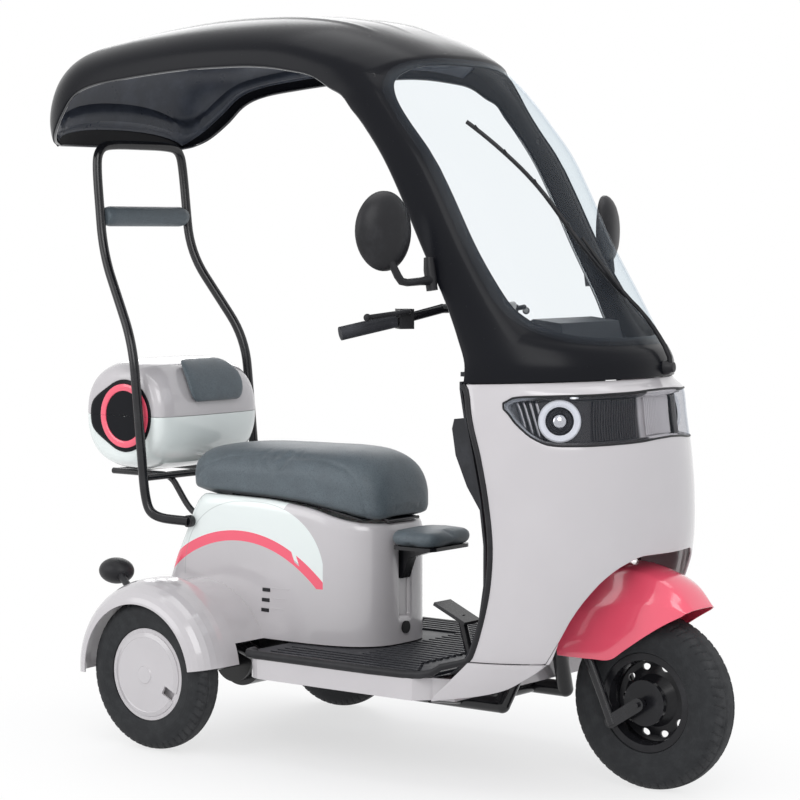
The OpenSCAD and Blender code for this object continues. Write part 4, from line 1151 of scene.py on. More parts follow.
    def lamp_ribs(self) -> None:
        """Makes the upright ribs: pale ones in the middle, smoked ones beside them, plates at the tips."""
        pale, dark, plates = Draft(), Draft(), Draft()
        for k in range(-30, 31):
            u = k * 0.0145
            if abs(k) < 9 or abs(k) > 12:
                draft, lean = (pale, 0.0) if abs(k) < 9 else (dark, math.copysign(0.02, k))
                low, high = value_at(LAMP_LOW, abs(u)) + 11, value_at(LAMP_HIGH, abs(u)) - 11
                line = [nose_point(mix(low, high, i / 6), u - lean * (i / 6 - 0.5), -27) for i in range(7)]
                draft.tube(line, 0.0022, 6)
        for side in (-1, 1):
            for k in range(4):
                rows = []
                for i in range(9):
                    u = side * (0.705 + 0.03 * k - 0.028 * math.cos(math.pi * i / 16))
                    low, high = value_at(LAMP_LOW, abs(u)) + 8, value_at(LAMP_HIGH, abs(u)) - 8
                    z = mix(low, max(high, low + 2), i / 8)
                    rows.append([nose_point(z, u + side * 0.022 * t, -22 - 9 * t) for t in (0.0, 0.5, 1.0)])
                plates.grid(rows)
        pale.piece("lamp_ribs_middle", "root", self.looks.tray)
        dark.piece("lamp_ribs_side", "root", self.looks.tray)
        plates.piece("lamp_plates", "root", self.looks.steel, wall=0.0015)

    def ring_frame(self, side: int) -> tuple[Vector, Vector]:
        """Returns a ring lamp's middle behind the lens and the direction in which it looks."""
        surface = nose_point(self.ring_z, side * self.ring_u)
        ahead = (nose_point(self.ring_z, side * self.ring_u, 10) - surface).normalized()
        return surface - ahead * self.lamp_depth * MM, ahead

    def rings(self) -> None:
        """Makes the glowing rings, their dark bowls and the projector lenses."""
        glow, bowl, lens = Draft(), Draft(), Draft()
        for side in (-1, 1):
            base, ahead = self.ring_frame(side)
            r, d = self.ring_r * MM, self.lamp_depth * MM
            glow.turned([(r - 0.001, d - 0.022), (r - 0.001, d - 0.013), (r - 0.004, d - 0.0085), (r - 0.012, d - 0.0085),
                         (r - 0.0165, d - 0.013), (r - 0.0165, d - 0.022)], base, ahead, 64, close=True)
            bowl.turned([(r + 0.001, 0.003), (r + 0.001, d - 0.018), (r - 0.0155, d - 0.018), (r - 0.021, 0.009), (0.0, 0.008)],
                        base, ahead, 64)
            bowl.turned([(0.021, 0.006), (0.021, 0.018), (0.018, 0.02), (0.018, 0.008)], base, ahead, 40, close=True)
            lens.turned([(0.0, 0.0235), (0.007, 0.0228), (0.013, 0.02), (0.0175, 0.0155), (0.018, 0.012), (0.0, 0.011)],
                        base, ahead, 40)
        for k in (-1, 1):
            mid = nose_point(value_at(LAMP_HIGH, 0.53) - 5, k * 0.53, -7)
            glow.block(mid, (0.012, 0.016, 0.004))
        glow.piece("ring_guides", "root", self.looks.glow, ["lamp_rings"])
        bowl.piece("ring_bowls", "root", self.looks.trim)
        lens.piece("ring_lenses", "root", self.looks.mirror)

    def lens(self) -> None:
        """Makes the clear cover of the lamp band."""
        draft = Draft()
        draft.grid(self.lamp_rows(1.0, -0.8))
        draft.piece("lamp_cover", "root", self.looks.lens, ["lamp_lens"], wall=0.0025, flip=True)


def ring_loft(rings: Sequence[Sequence[Vector]], dome: float = 0.0) -> Draft:
    """Lofts closed rings and closes both ends.

    Args:
        rings: Rings of points of one length.
        dome: How far the end caps stand out.

    Returns:
        The draft.
    """
    draft = Draft()
    ids = draft.grid(rings, closed=True)
    middle = [sum((Vector(p) for p in ring), Vector()) / len(ring) for ring in (rings[0], rings[-1])]
    draft.cap(ids[0][::-1], dome, middle[0] - middle[1])
    draft.cap(ids[-1], dome, middle[1] - middle[0])
    return draft


def swell(pad: bpy.types.Object, voxel: float, pressure: float, cap: float) -> None:
    """Puffs a pad up with a short cloth simulation and applies the result.

    Args:
        pad: The closed mesh that is puffed up.
        voxel: Size of the remesh, in metres.
        pressure: Pressure inside.
        cap: Greatest move of any point, in metres.
    """
    remesh = pad.modifiers.new("Even", "REMESH")
    remesh.mode = "VOXEL"
    remesh.voxel_size = voxel
    remesh.use_smooth_shade = True
    graph = bpy.context.evaluated_depsgraph_get()
    even = bpy.data.meshes.new_from_object(pad.evaluated_get(graph))
    pad.modifiers.clear()
    old = pad.data
    for material in old.materials:
        if material.name not in [m.name for m in even.materials if m]:
            even.materials.append(material)
    pad.data = even
    start = np.empty(len(even.vertices) * 3)
    even.vertices.foreach_get("co", start)
    cloth = pad.modifiers.new("Swell", "CLOTH")
    cloth.settings.use_pressure = True
    cloth.settings.uniform_pressure_force = pressure
    cloth.settings.quality = 5
    cloth.settings.tension_stiffness = 12
    cloth.settings.compression_stiffness = 12
    cloth.settings.bending_stiffness = 2.0
    cloth.settings.effector_weights.gravity = 0.0
    scene = bpy.context.scene
    for step in range(1, 21):
        scene.frame_set(step)
    graph = bpy.context.evaluated_depsgraph_get()
    moved = bpy.data.meshes.new_from_object(pad.evaluated_get(graph))
    end = np.empty(len(moved.vertices) * 3)
    moved.vertices.foreach_get("co", end)
    pad.modifiers.clear()
    scene.frame_set(1)
    shift = (end - start).reshape(-1, 3)
    length = np.linalg.norm(shift, axis=1, keepdims=True)
    shift *= np.minimum(1.0, cap / np.maximum(length, 1e-9))
    even.vertices.foreach_set("co", (start.reshape(-1, 3) + shift).ravel())
    even.polygons.foreach_set("use_smooth", [True] * len(even.polygons))
    even.update()


SADDLE_ROWS = (
    (-98, 612, 676, 96), (-84, 608, 702, 122), (-50, 607, 714, 140), (40, 607, 724, 150), (150, 606, 727, 152),
    (250, 600, 728, 150), (330, 590, 729, 146), (400, 578, 724, 140), (450, 569, 706, 130), (480, 566, 676, 108),
    (494, 570, 640, 80))


@dataclass
class Seating:
    """Saddle, small front seat, backrest and roll pad."""

    looks: Finishes
    voxel: float = 0.005
    pressure: float = 3.0

    def build(self) -> None:
        """Makes every soft piece."""
        self.saddle()
        self.step_seat()
        self.backrest()
        self.roll_pad()

    def saddle(self) -> None:
        """Makes the long saddle with a flat underside, a crowned top and a seam round its sides."""
        rings = []
        count = 60
        last = len(SADDLE_ROWS) - 1
        for i in range(count + 1):
            s, low, high, half = curve_at(SADDLE_ROWS, last * i / count)
            ring = []
            for k in range(72):
                t = 2 * math.pi * k / 72
                c, sn = math.cos(t), math.sin(t)
                power = 2.6 if sn > 0 else 6.0
                q = (abs(c) ** power + abs(sn) ** power) ** (-1 / power)
                mid = mix(low, high, 0.38)
                z = mid + sn * q * ((high - mid) if sn > 0 else (mid - low))
                lean = 1.0 - 0.05 * max(sn, 0.0)
                ring.append(at(s, (half - 1) * lean * c * q, z - 1.0 if sn > 0 else z - 4.5 * abs(c * q) ** 3))
            rings.append(ring)
        pad = ring_loft(rings, 0.004).piece("saddle_pad", "saddle", self.looks.seat, ["saddle"])
        swell(pad, self.voxel, self.pressure, 0.006)
        self.sew(pad)

    def sew(self, pad: bpy.types.Object) -> None:
        """Presses the side panel's seam into the saddle."""
        path = [(-60, 650), (-29, 674), (31, 696), (90, 704), (155, 707), (280, 707), (351, 700), (400, 688),
                (428, 670), (448, 642), (460, 607), (464, 560)]
        line = [(REAR_AXLE_X + s * MM, z * MM) for s, z in path]
        for v in pad.data.vertices:
            if abs(v.co.y) < 0.095:
                continue
            near = 1.0
            for (x0, z0), (x1, z1) in zip(line, line[1:]):
                dx, dz = x1 - x0, z1 - z0
                t = min(max(((v.co.x - x0) * dx + (v.co.z - z0) * dz) / (dx * dx + dz * dz), 0.0), 1.0)
                near = min(near, math.hypot(v.co.x - x0 - t * dx, v.co.z - z0 - t * dz))
            v.co.y -= math.copysign(0.0035 * bell(near, 0.008), v.co.y)
        pad.data.update()

    def slab_pad(self, name: str, body: str, rings: Sequence[Sequence[Vector]], replaces: Sequence[str],
                 cap: float = 0.005) -> bpy.types.Object:
        """Args:
            name: The piece's name.
            body: The body it rides on.
            rings: Rings of points.
            replaces: Nodes it stands for.
            cap: Greatest move of any point, in metres.

        Returns:
            The pad.
        """
        pad = ring_loft(rings, 0.002).piece(name, body, self.looks.seat, replaces)
        swell(pad, 0.004, self.pressure, cap)
        return pad

    def step_seat(self) -> None:
        """Makes the small seat in front of the saddle, lofted upwards."""
        rings = []
        for i in range(15):
            t = i / 14
            bulge = math.sin(math.pi * mix(0.16, 0.86, t)) ** 0.16
            z = mix(509.0, 543.5, t)
            half_s, half_y = 66.5 * bulge, 89.5 * bulge
            ring = []
            for k in range(56):
                a = 2 * math.pi * k / 56
                c, sn = math.cos(a), math.sin(a)
                q = (abs(c) ** 5 + abs(sn) ** 5) ** (-1 / 5)
                ring.append(at(569 + half_s * c * q, half_y * sn * q, z))
            rings.append(ring)
        self.slab_pad("step_seat_pad", "root", rings, ["step_seat"], 0.004)

    def backrest(self) -> None:
        """Makes the backrest pad on the pod's front upper face."""
        rings = []
        for i in range(17):
            t = i / 16
            turn = math.radians(mix(13, 57, t))
            swell_t = math.sin(math.pi * mix(0.06, 0.94, t)) ** 0.3
            half = 106 * mix(1.04, 0.86, t) * swell_t ** 0.6
            inner, outer = 150.5, 152 + 17 * swell_t
            ring = []
            for k in range(48):
                a = 2 * math.pi * k / 48
                c, sn = math.cos(a), math.sin(a)
                q = (abs(c) ** 4 + abs(sn) ** 4) ** (-0.25)
                r = mix(inner, outer, 0.5 + 0.5 * sn * q)
                flat = (abs(math.cos(turn)) ** 2.4 + abs(math.sin(turn)) ** 2.4) ** (-1 / 2.4)
                ring.append(at(-270 + r * math.cos(turn) * flat, half * c * q, 790 + r * 0.975 * math.sin(turn) * flat))
            rings.append(ring)
        self.slab_pad("backrest_pad", "pod_lid", rings, ["backrest"], 0.004)

    def roll_pad(self) -> None:
        """Makes the foam roll between the hoop's posts with stitched ends."""
        rings = []
        for i in range(33):
            t = 2 * i / 32 - 1
            r = 26.0 * (1 - 0.1 * bell(abs(t) - 0.93, 0.04)) * (1 - max(abs(t) - 0.985, 0.0) * 12)
            ring = []
            for k in range(40):
                a = 2 * math.pi * k / 40
                ring.append(at(-363 + r * math.cos(a), t * 150.5, 1294 + r * math.sin(a)))
            rings.append(ring)
        self.slab_pad("roll_pad_foam", "root", rings, ["roll_pad"], 0.0015)


POD_MIDDLE = (-270.0, 790.0)
POD_SIZE = (148.0, 189.0, 143.0)


def pod_point(t: float, turn: float, inset: float = 0.0) -> Vector:
    """Finds a point of the barrel pod.

    Args:
        t: Share of its half length, from -1 to 1.
        turn: Angle round it, in radians, from the front.
        inset: Distance inside its surface, in millimetres.

    Returns:
        The point in metres.
    """
    k = (1 - min(abs(t), 1.0) ** 3.4) ** (1 / 3.4)
    c, s = math.cos(turn), math.sin(turn)
    q = (abs(c) ** 2.4 + abs(s) ** 2.4) ** (-1 / 2.4)
    depth, half, height = POD_SIZE
    return at(POD_MIDDLE[0] + (depth * mix(0.66, 1, k) - inset) * c * q, t * (half - inset),
              POD_MIDDLE[1] + (height * mix(0.62, 1, k) - inset) * s * q)


@dataclass
class Pod:
    """Barrel box behind the saddle: lid, lower half, end caps and their rings."""

    looks: Finishes
    gap: float = 0.5
    lengths: int = 44
    ring_s: float = -256.0
    panel_r: float = 92.0
    panel_rear: float = 121.0

    def build(self) -> None:
        """Makes every piece of the pod."""
        self.half("pod_upper", "pod_lid", self.looks.greige, ["pod_lid"], 1)
        self.half("pod_lower", "root", self.looks.mint, ["pod_tub"], -1)
        for up, body, node in ((1, "pod_lid", "pod_lid_caps"), (-1, "root", "pod_caps")):
            self.cap_half(up, body, node)
            self.ring_half(up, body)

    def half(self, name: str, body: str, finish: Finish, replaces: Sequence[str], up: int) -> None:
        """Makes one shell half.

        Args:
            name: The piece's name.
            body: Its body.
            finish: Its finish.
            replaces: Nodes it stands for.
            up: 1 for the lid and -1 for the lower half.
        """
        draft = Draft()
        ts = [math.sin(math.pi / 2 * (2 * i / self.lengths - 1)) for i in range(self.lengths + 1)]
        rows = []
        for t in ts:
            row = []
            for k in range(41):
                p = pod_point(t, up * math.pi * k / 40)
                edge = (POD_MIDDLE[1] + up * self.gap) * MM
                p.z = max(p.z, edge) if up > 0 else min(p.z, edge)
                row.append(p)
            rows.append(row)
        ids = draft.grid(rows)
        for row in (ids[0], ids[-1]):
            draft.faces.append(tuple(row))
        draft.piece(name, body, finish, replaces, wall=0.005, bevel=0.0015, flip=up < 0)

    def end_side(self, s: float, z: float) -> float:
        """Returns how far out the pod's end lies at a station and height, in millimetres."""
        depth, half, height = POD_SIZE
        low, high = 0.0, 1.0
        for _ in range(24):
            k = (low + high) / 2
            x = abs(s - POD_MIDDLE[0]) / (depth * mix(0.66, 1, k))
            y = abs(z - POD_MIDDLE[1]) / (height * mix(0.62, 1, k))
            if x ** 2.4 + y ** 2.4 > 1:
                low = k
            else:
                high = k
        return half * (1 - high ** 3.4) ** (1 / 3.4)

    def reach(self, a: float) -> float:
        """Returns the end panel's radius at an angle: a circle with straight lids towards a blunt rear end."""
        c, s = math.cos(a), math.sin(a)
        if c > 0:
            return self.panel_r * mix(1.0, 0.96, c)
        line = self.panel_r / max(0.5 * abs(c) + 0.866 * abs(s), 1e-6) if c < -0.5 else self.panel_r
        return (line ** -10 + (abs(c) / self.panel_rear) ** 10) ** -0.1

    def on_end(self, a: float, r: float, lift: float, side: int, up: int) -> Vector:
        """Returns a point on the pod's end, at an angle and radius from the ring's middle."""
        s = self.ring_s + r * math.cos(a)
        z = POD_MIDDLE[1] + r * math.sin(a)
        p = at(s, side * (self.end_side(s, z) + lift), z)
        edge = (POD_MIDDLE[1] + up * self.gap * 0.4) * MM
        p.z = max(p.z, edge) if up > 0 else min(p.z, edge)
        return p

    def cap_half(self, up: int, body: str, node: str) -> None:
        """Makes one half of both black end panels."""
        draft = Draft()
        for side in (-1, 1):
            rows = []
            for share, lift in ((1.0, -2.5), (1.0, 2.0), (0.985, 3.4), (0.93, 4.2), (0.7, 4.6), (0.4, 4.8), (0.03, 4.8)):
                turns = [up * math.pi * k / 48 for k in range(49)]
                rows.append([self.on_end(a, share * self.reach(a), lift, side, up) for a in turns])
            draft.grid(rows)
        draft.piece("pod_end_upper" if up > 0 else "pod_end_lower", body, self.looks.roof, [node], sharp=40)

    def ring_half(self, up: int, body: str) -> None:
        """Makes one half of both coral rings on the end panels."""
        draft = Draft()
        for side in (-1, 1):
            rows = []
            for r, lift in ((81.5, 3.6), (80.6, 6.6), (77.5, 7.6), (67.0, 7.6), (64.0, 6.6), (63.2, 3.6)):
                turns = [up * math.pi * k / 48 for k in range(49)]
                rows.append([self.on_end(a, r, lift, side, up) for a in turns])
            draft.grid(rows)
        draft.piece("pod_ring_upper" if up > 0 else "pod_ring_lower", body, self.looks.coral)


BASE_LINE = ((-150, 556), (-104, 556), (-30, 606), (160, 604), (300, 592), (430, 563), (490, 556))
BASE_REAR = ((262, -150), (360, -150), (430, -132), (500, -104), (560, -66), (606, -30))


@dataclass
class SeatBase:
    """Storage base under the saddle with its groove and side vents."""

    looks: Finishes
    half: float = 160.0
    front: float = 490.0
    bottom: float = 262.0
    around: int = 280

    def build(self) -> None:
        """Makes the shell and its fittings."""
        self.shell()
        self.fittings()

    def ring(self, t: float, inset: float) -> list[Vector]:
        """Returns one ring of the shell.

        Args:
            t: Share of the height, 0 at the bottom edge.
            inset: How far it is drawn in, in millimetres.

        Returns:
            Its points.
        """
        points = []
        for k in range(self.around):
            a = 2 * math.pi * k / self.around
            c, s = math.cos(a), math.sin(a)
            power = 3.2 if c > 0 else 22.0
            q = (abs(c) ** power + abs(s) ** power) ** (-1 / power)
            station = 190 + 300 * c * q if c > 0 else 190 + 250 * c * q
            top = value_at(BASE_LINE, station)
            z = mix(self.bottom, top, t)
            rear = value_at(BASE_REAR, z)
            if c <= 0:
                station = 190 + (190 - rear) * c * q
                top = min(value_at(BASE_LINE, station), 606)
                z = mix(self.bottom, top, t)
            room = 1 - inset / 160
            y = self.half * s * q * room
            edge = bell(max(abs(y) - 17, 0), 7) * bell(max(abs(z - 410) - 82, 0), 8) * (station > 470)
            points.append(at(190 + (station - 190) * (1 - inset / 300) - 9.5 * edge, y, z))
        return points

    def shell(self) -> None:
        """Makes the outer shell with rounded upper edges and an open bin."""
        draft = Draft()
        levels = [(0.9 * k / 44, 0.0) for k in range(45)]
        levels += [(0.93, 0.8), (0.955, 2.2), (0.975, 4.6), (0.99, 8.0), (0.996, 12.0), (0.997, 20.0)]
        draft.grid([self.ring(t, inset) for t, inset in levels], closed=True)
        draft.grid([self.ring(0.997, 20.0), self.ring(0.2, 20.0)], closed=True)
        draft.piece("seat_base_shell", "root", self.looks.base, ["seat_base"], sharp=50)

    def fittings(self) -> None:
        """Makes the vents and the embossed lines."""
        vents, lines = Draft(), Draft()
        for side in (-1, 1):
            for k, (s, z) in enumerate(((186, 382), (184, 357), (182, 332))):
                vents.block(at(s, side * 159.5, z), (0.024, 0.005, 0.009))
                lines.tube([at(s + 16, side * 160, z + 6), at(s + 74 - 6 * k, side * 159.6, z + 6)], 0.0009, 6)
        vents.piece("vent_slots", "root", self.looks.trim, ["side_vents"], bevel=0.001)
        lines.piece("vent_lines", "root", self.looks.greige)


@dataclass
class FrontFender:
    """Fender over the steered wheel, with a ridge, crisp shoulders and a pointed tip."""

    looks: Finishes
    rows: tuple = (
        (1324, 422, 1306, 408, 62), (1284, 468, 1262, 384, 74), (1236, 496, 1215, 354, 80), (1176, 514, 1168, 322, 80),
        (1110, 514, 1128, 296, 80), (1050, 499, 1080, 293, 80), (1002, 464, 1035, 292, 79.5),
        (982, 410, 1005, 292, 79), (976, 350, 985, 292, 77))

    def build(self) -> None:
        """Makes the fender."""
        draft = Draft()
        half = ((1, 1), (1, 0.78), (0.995, 0.6), (0.985, 0.48), (0.965, 0.42), (0.86, 0.29), (0.73, 0.13),
                (0.69, 0.09), (0.64, 0.068), (0.4, 0.026), (0.2, 0.007))
        section = [(-side, t) for side, t in half] + [(0, 0)] + [(side, t) for side, t in reversed(half)]
        rows = []
        steps = 48
        for i in range(steps + 1):
            s0, z0, s1, z1, half = curve_at(self.rows, (len(self.rows) - 1) * i / steps)
            rows.append([at(mix(s0, s1, t), side * half, mix(z0, z1, t)) for side, t in section])
        draft.grid(rows)
        draft.piece("front_fender_shell", "steering", self.looks.coral, ["front_fender"], wall=0.003, bevel=0.0012,
                    flip=True)


@dataclass
class Wheel:
    """Tyre with tread, for one wheel."""

    looks: Finishes
    name: str
    body: str
    node: str
    axle: Point
    radius: float
    width: float
    rim: float = 106.0

    def build(self) -> None:
        """Makes the tyre with its tread grooves."""
        mid = self.rim + (self.radius - self.rim) * 0.42
        profile = []
        for k in range(41):
            a = math.pi * k / 40
            c, s = math.cos(a), math.sin(a)
            q = (abs(c) ** 2.5 + abs(s) ** 2.5) ** (-1 / 2.5)
            profile.append(((mid + (self.radius - mid) * s * q) * MM, self.width / 2 * c * q * MM))
        profile += [(114 * MM, -(self.width / 2 - 7) * MM), (112.5 * MM, -(self.width / 2 - 15.6) * MM),
                    (106.6 * MM, -(self.width / 2 - 15.6) * MM), (106.6 * MM, (self.width / 2 - 15.6) * MM),
                    (112.5 * MM, (self.width / 2 - 15.6) * MM), (114 * MM, (self.width / 2 - 7) * MM)]
        pitch = 2 * math.pi / 56

        def tread(turn: float, r: float, h: float) -> float:
            """Returns how deep the tread is cut at an angle, radius and place, below 0."""
            if r < (self.radius - 17) * MM:
                return 0.0
            y = h / (self.width / 2 * MM)
            slant = (turn + abs(y) * 0.13 + 0.02 * math.copysign(1, y)) / pitch
            cut = bell(slant - round(slant), 0.17)
            groove = bell(abs(y) - 0.3, 0.07)
            deep = max(cut * (abs(y) > 0.34) * min((abs(y) - 0.34) * 8, 1), groove)
            return -0.0035 * deep

        draft = Draft()
        draft.turned(profile, Vector(self.axle), Vector((0, 1, 0)), 448, close=True, ripple=tread)
        rubber = Finish(TyreRubber(f"{self.name}_rubber", self.axle, self.radius * MM).material(), "tyre")
        draft.piece(self.name, self.body, rubber, [self.node], sharp=28)


@dataclass
class Mirrors:
    """Rear-view mirrors with a black back, a rim and the glass."""

    looks: Finishes

    def build(self) -> None:
        """Makes heads, glasses and arms on both sides."""
        heads, glass, arms = Draft(), Draft(), Draft()
        turn = Matrix.Rotation(math.radians(20), 3, "Z")
        middle = at(772, 446, 1256)

        def ring(x: float, share: float) -> list[Vector]:
            """Returns one oval ring of the head."""
            points = []
            for k in range(48):
                a = 2 * math.pi * k / 48
                p = Vector((x, -70 * share * math.cos(a), 88 * share * math.sin(a) * (1 + 0.05 * math.cos(a)))) * MM
                points.append(middle + turn @ p)
            return points

        outer = [ring(x, q) for x, q in ((-7, 0.93), (-9, 0.95), (-9, 0.975), (-5, 1.0), (2, 0.995), (9, 0.95), (16, 0.86),
                                         (22, 0.74), (27, 0.57), (30, 0.36), (31, 0.15), (31.2, 0.03))]
        heads.cap(heads.grid(outer, closed=True)[-1])
        glass.cap(glass.grid([ring(-6.5, 0.94), ring(-6.8, 0.5)], closed=True)[1])
        bracket = [at(800, 319, 1197), at(804, 321, 1170), at(811, 320, 1124)]
        arms.tube(bracket, [0.011, 0.0135, 0.013], 20)
        arm = [(808, 322, 1147), (807, 360, 1145), (806, 405, 1143), (803, 422, 1146), (799, 430, 1158), (792, 438, 1180),
               (782, 446, 1204)]
        arms.tube([at(*p) for p in arm], [0.0115, 0.009, 0.0085, 0.009, 0.009, 0.0085, 0.0085], 20)
        for draft in (heads, glass, arms):
            draft.mirrored()
        heads.piece("mirror_heads", "root", self.looks.trim, ["mirrors"])
        glass.piece("mirror_glass", "root", self.looks.mirror)
        arms.piece("mirror_arms", "root", self.looks.trim)


def bent(path: Sequence[Vector], radius: float, steps: int = 8) -> list[Vector]:
    """Rounds the corners of a path.

    Args:
        path: Its corner points.
        radius: How far from a corner the bend starts at most, in metres.
        steps: Points in each bend.

    Returns:
        The rounded path.
    """
    points = [path[0]]
    for before, corner, after in zip(path, path[1:], path[2:]):
        near = [min(radius, (p - corner).length * 0.48) for p in (before, after)]
        start = corner + (before - corner).normalized() * near[0]
        end = corner + (after - corner).normalized() * near[1]
        points += [start.lerp(corner, t / steps).lerp(corner.lerp(end, t / steps), t / steps) for t in range(steps + 1)]
    return points + [path[-1]]


@dataclass
class Tubes:
    """Bent tubes behind the rider: the hoop under the roof and the pod's rack."""

    looks: Finishes
    hoop_s: float = -378.0
    hoop_y: float = 162.0
    roll_y: float = 214.0
    rack_y: float = 105.0
    rack_z: float = 638.0
    hoop_r: float = 0.012
    rack_r: float = 0.008

    def build(self) -> None:
        """Makes the hoop and the rack."""
        hoop, rack = Draft(), Draft()
        s, y = self.hoop_s, self.hoop_y
        left = [(s, y - 45, 1478), (s, y - 12, 1464), (s, y, 1430), (s + 24, y + 2, 1200), (-206, self.roll_y, 975),
                (-180, self.roll_y, 720), (-166, self.roll_y, 575), (-140, self.roll_y - 6, 541), (-60, 172, 534)]
        path = [at(p[0], -p[1], p[2]) for p in reversed(left)] + [at(*p) for p in left]
        hoop.tube(bent(path, 0.075), self.hoop_r, 24)
        for side in (-1, 1):
            hoop.turned([(0.0, -0.008), (0.0145, -0.008), (0.015, -0.007), (0.015, 0.007), (0.0145, 0.008), (0.0, 0.008)],
                        at(-60, side * 168, 534), Vector((0, 1, 0)), 32)
            rail = [(-380, side * self.rack_y, self.rack_z), (-180, side * self.rack_y, self.rack_z),
                    (-120, side * self.rack_y, 560), (-88, side * self.rack_y, 540)]
            rack.tube(bent([at(*p) for p in rail], 0.03), self.rack_r, 20)
        for s, y in ((-370, self.rack_y), (-190, self.rack_y), (-172, self.roll_y - 12)):
            rack.tube([at(s, -y, self.rack_z), at(s, y, self.rack_z)], self.rack_r, 20)
        hoop.piece("hoop_tube", "root", self.looks.frame, ["roll_bar"])
        rack.piece("rack_tubes", "root", self.looks.frame, ["pod_rack"])


def deck_ribs(looks: Finishes) -> None:
    """Makes the rubber ribs of the deck's middle, in front of the seat base.

    Args:
        looks: All finishes.
    """
    draft = Draft()
    for y in range(-182, 183, 26):
        draft.block(at(602, y, 259.5), (0.19, 0.012, 0.007))
    draft.piece("deck_middle_ribs", "root", looks.mat, bevel=0.001)


class Stage(Enum):
    """Lamps round the object: place, size, power and turn."""

    KEY = ((3.2, -3.6, 3.6), 3.0, 95.0)
    FILL = ((-2.6, -4.2, 2.6), 3.2, 60.0)
    TOP = ((0.0, 0.0, 4.6), 3.4, 60.0)
    REAR = ((-3.0, 3.4, 3.0), 2.6, 45.0)


def light_stage() -> None:
    """Makes the floor, the world and the lamps."""
    floor = Shader("floor_white")
    shade = floor.noise(3.0, 2.0)
    floor.set({"Base Color": floor.blend(shade, (0.86, 0.86, 0.86), (0.83, 0.83, 0.83)), "Roughness": 0.6})
    path = [floor.node("ShaderNodeLightPath", {}, {}, key) for key in ("Is Camera Ray", "Is Glossy Ray", "Is Transmission Ray")]
    white = floor.node("ShaderNodeEmission", {}, {"Color": (1, 1, 1, 1), "Strength": 1.0})
    seen = path[0].most(path[1]).most(path[2])
    x, y, _ = floor.place()
    dx, dy = x - 0.0, y - 0.0
    away = floor.soften((dx * dx * 0.75 + dy * dy * 1.6).root(), 0.35, 1.25)
    joined = floor.node("ShaderNodeMixShader", {}, {0: seen * (away * 0.35 + 0.65), 2: white})
    floor.links.new(floor.surface.outputs[0], joined.socket.node.inputs[1])
    floor.links.new(joined.socket, floor.output.inputs["Surface"])
    mesh = bpy.data.meshes.new("floor")
    mesh.from_pydata([(-30, -30, 0), (30, -30, 0), (30, 30, 0), (-30, 30, 0)], [], [(0, 1, 2, 3)])
    mesh.materials.append(floor.material)
    ground = bpy.data.objects.new("floor", mesh)
    bpy.context.scene.collection.objects.link(ground)
    world = bpy.data.worlds.new("sky")
    world.use_nodes = True
    bpy.context.scene.world = world
    nodes, links = world.node_tree.nodes, world.node_tree.links
    nodes.clear()
    out = nodes.new("ShaderNodeOutputWorld")
    dim, bright = nodes.new("ShaderNodeBackground"), nodes.new("ShaderNodeBackground")
    dim.inputs[0].default_value = (0.93, 0.95, 1.0, 1.0)
    dim.inputs[1].default_value = 0.62
    bright.inputs[1].default_value = 1.0
    bright.inputs[0].default_value = (1.0, 1.0, 1.0, 1.0)
    rays = nodes.new("ShaderNodeLightPath")
    choose = nodes.new("ShaderNodeMixShader")
    seen_by = [rays.outputs[key] for key in ("Is Camera Ray", "Is Glossy Ray", "Is Transmission Ray")]
    either = seen_by[0]
    for other in seen_by[1:]:
        most = nodes.new("ShaderNodeMath")
        most.operation = "MAXIMUM"
        links.new(either, most.inputs[0])
        links.new(other, most.inputs[1])
        either = most.outputs[0]
    links.new(either, choose.inputs[0])
    links.new(dim.outputs[0], choose.inputs[1])
    links.new(bright.outputs[0], choose.inputs[2])
    links.new(choose.outputs[0], out.inputs["Surface"])
    for lamp in Stage:
        place, size, power = lamp.value
        data = bpy.data.lights.new(lamp.name.lower(), "AREA")
        data.size = size
        data.energy = power
        made = bpy.data.objects.new(lamp.name.lower(), data)
        made.location = place
        made.rotation_euler = (Vector((0, 0, 0.8)) - Vector(place)).to_track_quat("-Z", "Y").to_euler()
        bpy.context.scene.collection.objects.link(made)


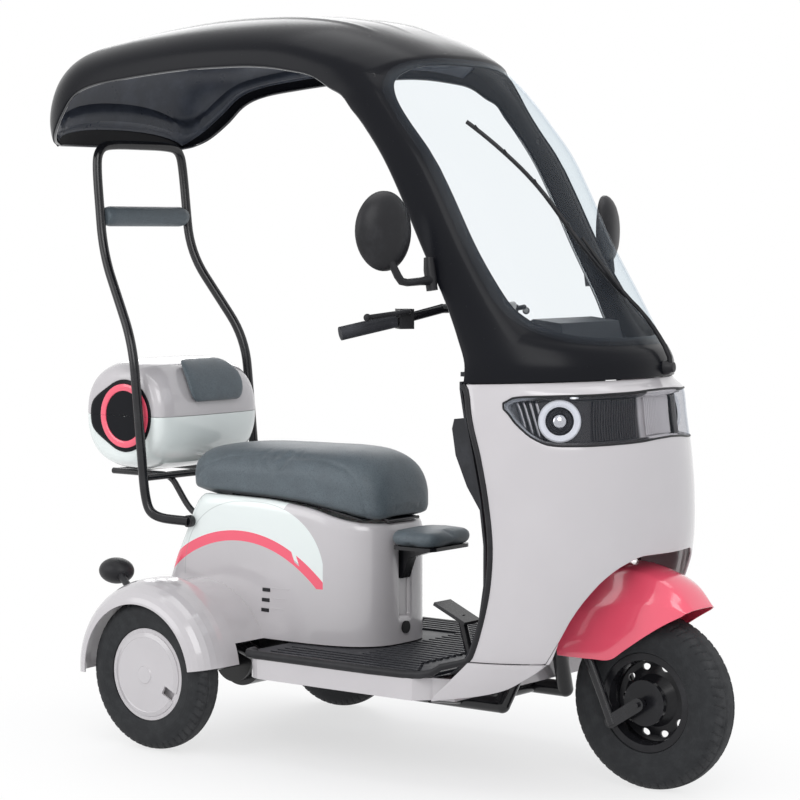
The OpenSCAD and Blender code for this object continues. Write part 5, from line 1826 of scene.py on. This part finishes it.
def add_camera() -> None:
    """Places the camera at the photograph's viewing angle."""
    data = bpy.data.cameras.new("camera")
    data.sensor_width = 36.0
    data.lens = 2525.27 / 800 * 36.0
    data.clip_end = 80.0
    made = bpy.data.objects.new("camera", data)
    turn, down = math.radians(37.575), math.radians(3.8123)
    ahead = Vector((-math.sin(turn) * math.cos(down), math.cos(turn) * math.cos(down), -math.sin(down)))
    made.location = (3.7184, -4.8147, 1.2545)
    made.rotation_euler = ahead.to_track_quat("-Z", "Y").to_euler()
    bpy.context.scene.collection.objects.link(made)
    bpy.context.scene.camera = made


def dress_nodes(looks: Finishes) -> None:
    """Gives every solid that stays in view its finish."""
    plan = {
        looks.frame: "chassis rear_axle fork handlebar step_seat_bracket saddle_plate brake_pedal",
        looks.springs: "rear_shocks", looks.battery: "battery",
        looks.greige: "footboard rear_fenders hub_cap_left hub_cap_right", looks.mat: "floor_mat grips",
        looks.trim: "side_vents charge_cap tail_signals hand_controls", looks.inner: "leg_shield dash",
        looks.red: "tail_lamp", looks.wheel: "front_rim", looks.rim: "rear_rim_left rear_rim_right",
        looks.seat: "step_seat backrest roll_pad saddle"}
    for finish, names in plan.items():
        for name in names.split():
            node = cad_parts[name]
            for i in range(len(node.material_slots)):
                node.material_slots[i].link = "OBJECT"
                node.material_slots[i].material = finish.material


def main() -> None:
    """Builds the tricycle around the frame."""
    logging.basicConfig(level=logging.INFO, format="%(name)s %(message)s")
    bpy.context.scene.view_settings.view_transform = "Standard"
    looks = Finishes()
    add_camera()
    light_stage()
    dress_nodes(looks)
    Roof(looks).build()
    Nose(looks).build()
    Pod(looks).build()
    SeatBase(looks).build()
    FrontFender(looks).build()
    Mirrors(looks).build()
    Tubes(looks).build()
    deck_ribs(looks)
    Wheel(looks, "front_tyre_tread", "front_wheel", "front_tyre", (0.7355, 0.0, 0.2), 200.0, 92.0).build()
    Wheel(looks, "left_tyre_tread", "rear_wheel_left", "rear_tyre_left", (REAR_AXLE_X, 0.355, 0.185), 185.0, 82.0).build()
    Wheel(looks, "right_tyre_tread", "rear_wheel_right", "rear_tyre_right", (REAR_AXLE_X, -0.355, 0.185), 185.0,
          82.0).build()
    Seating(looks).build()


if __name__ == "__main__":
    main()
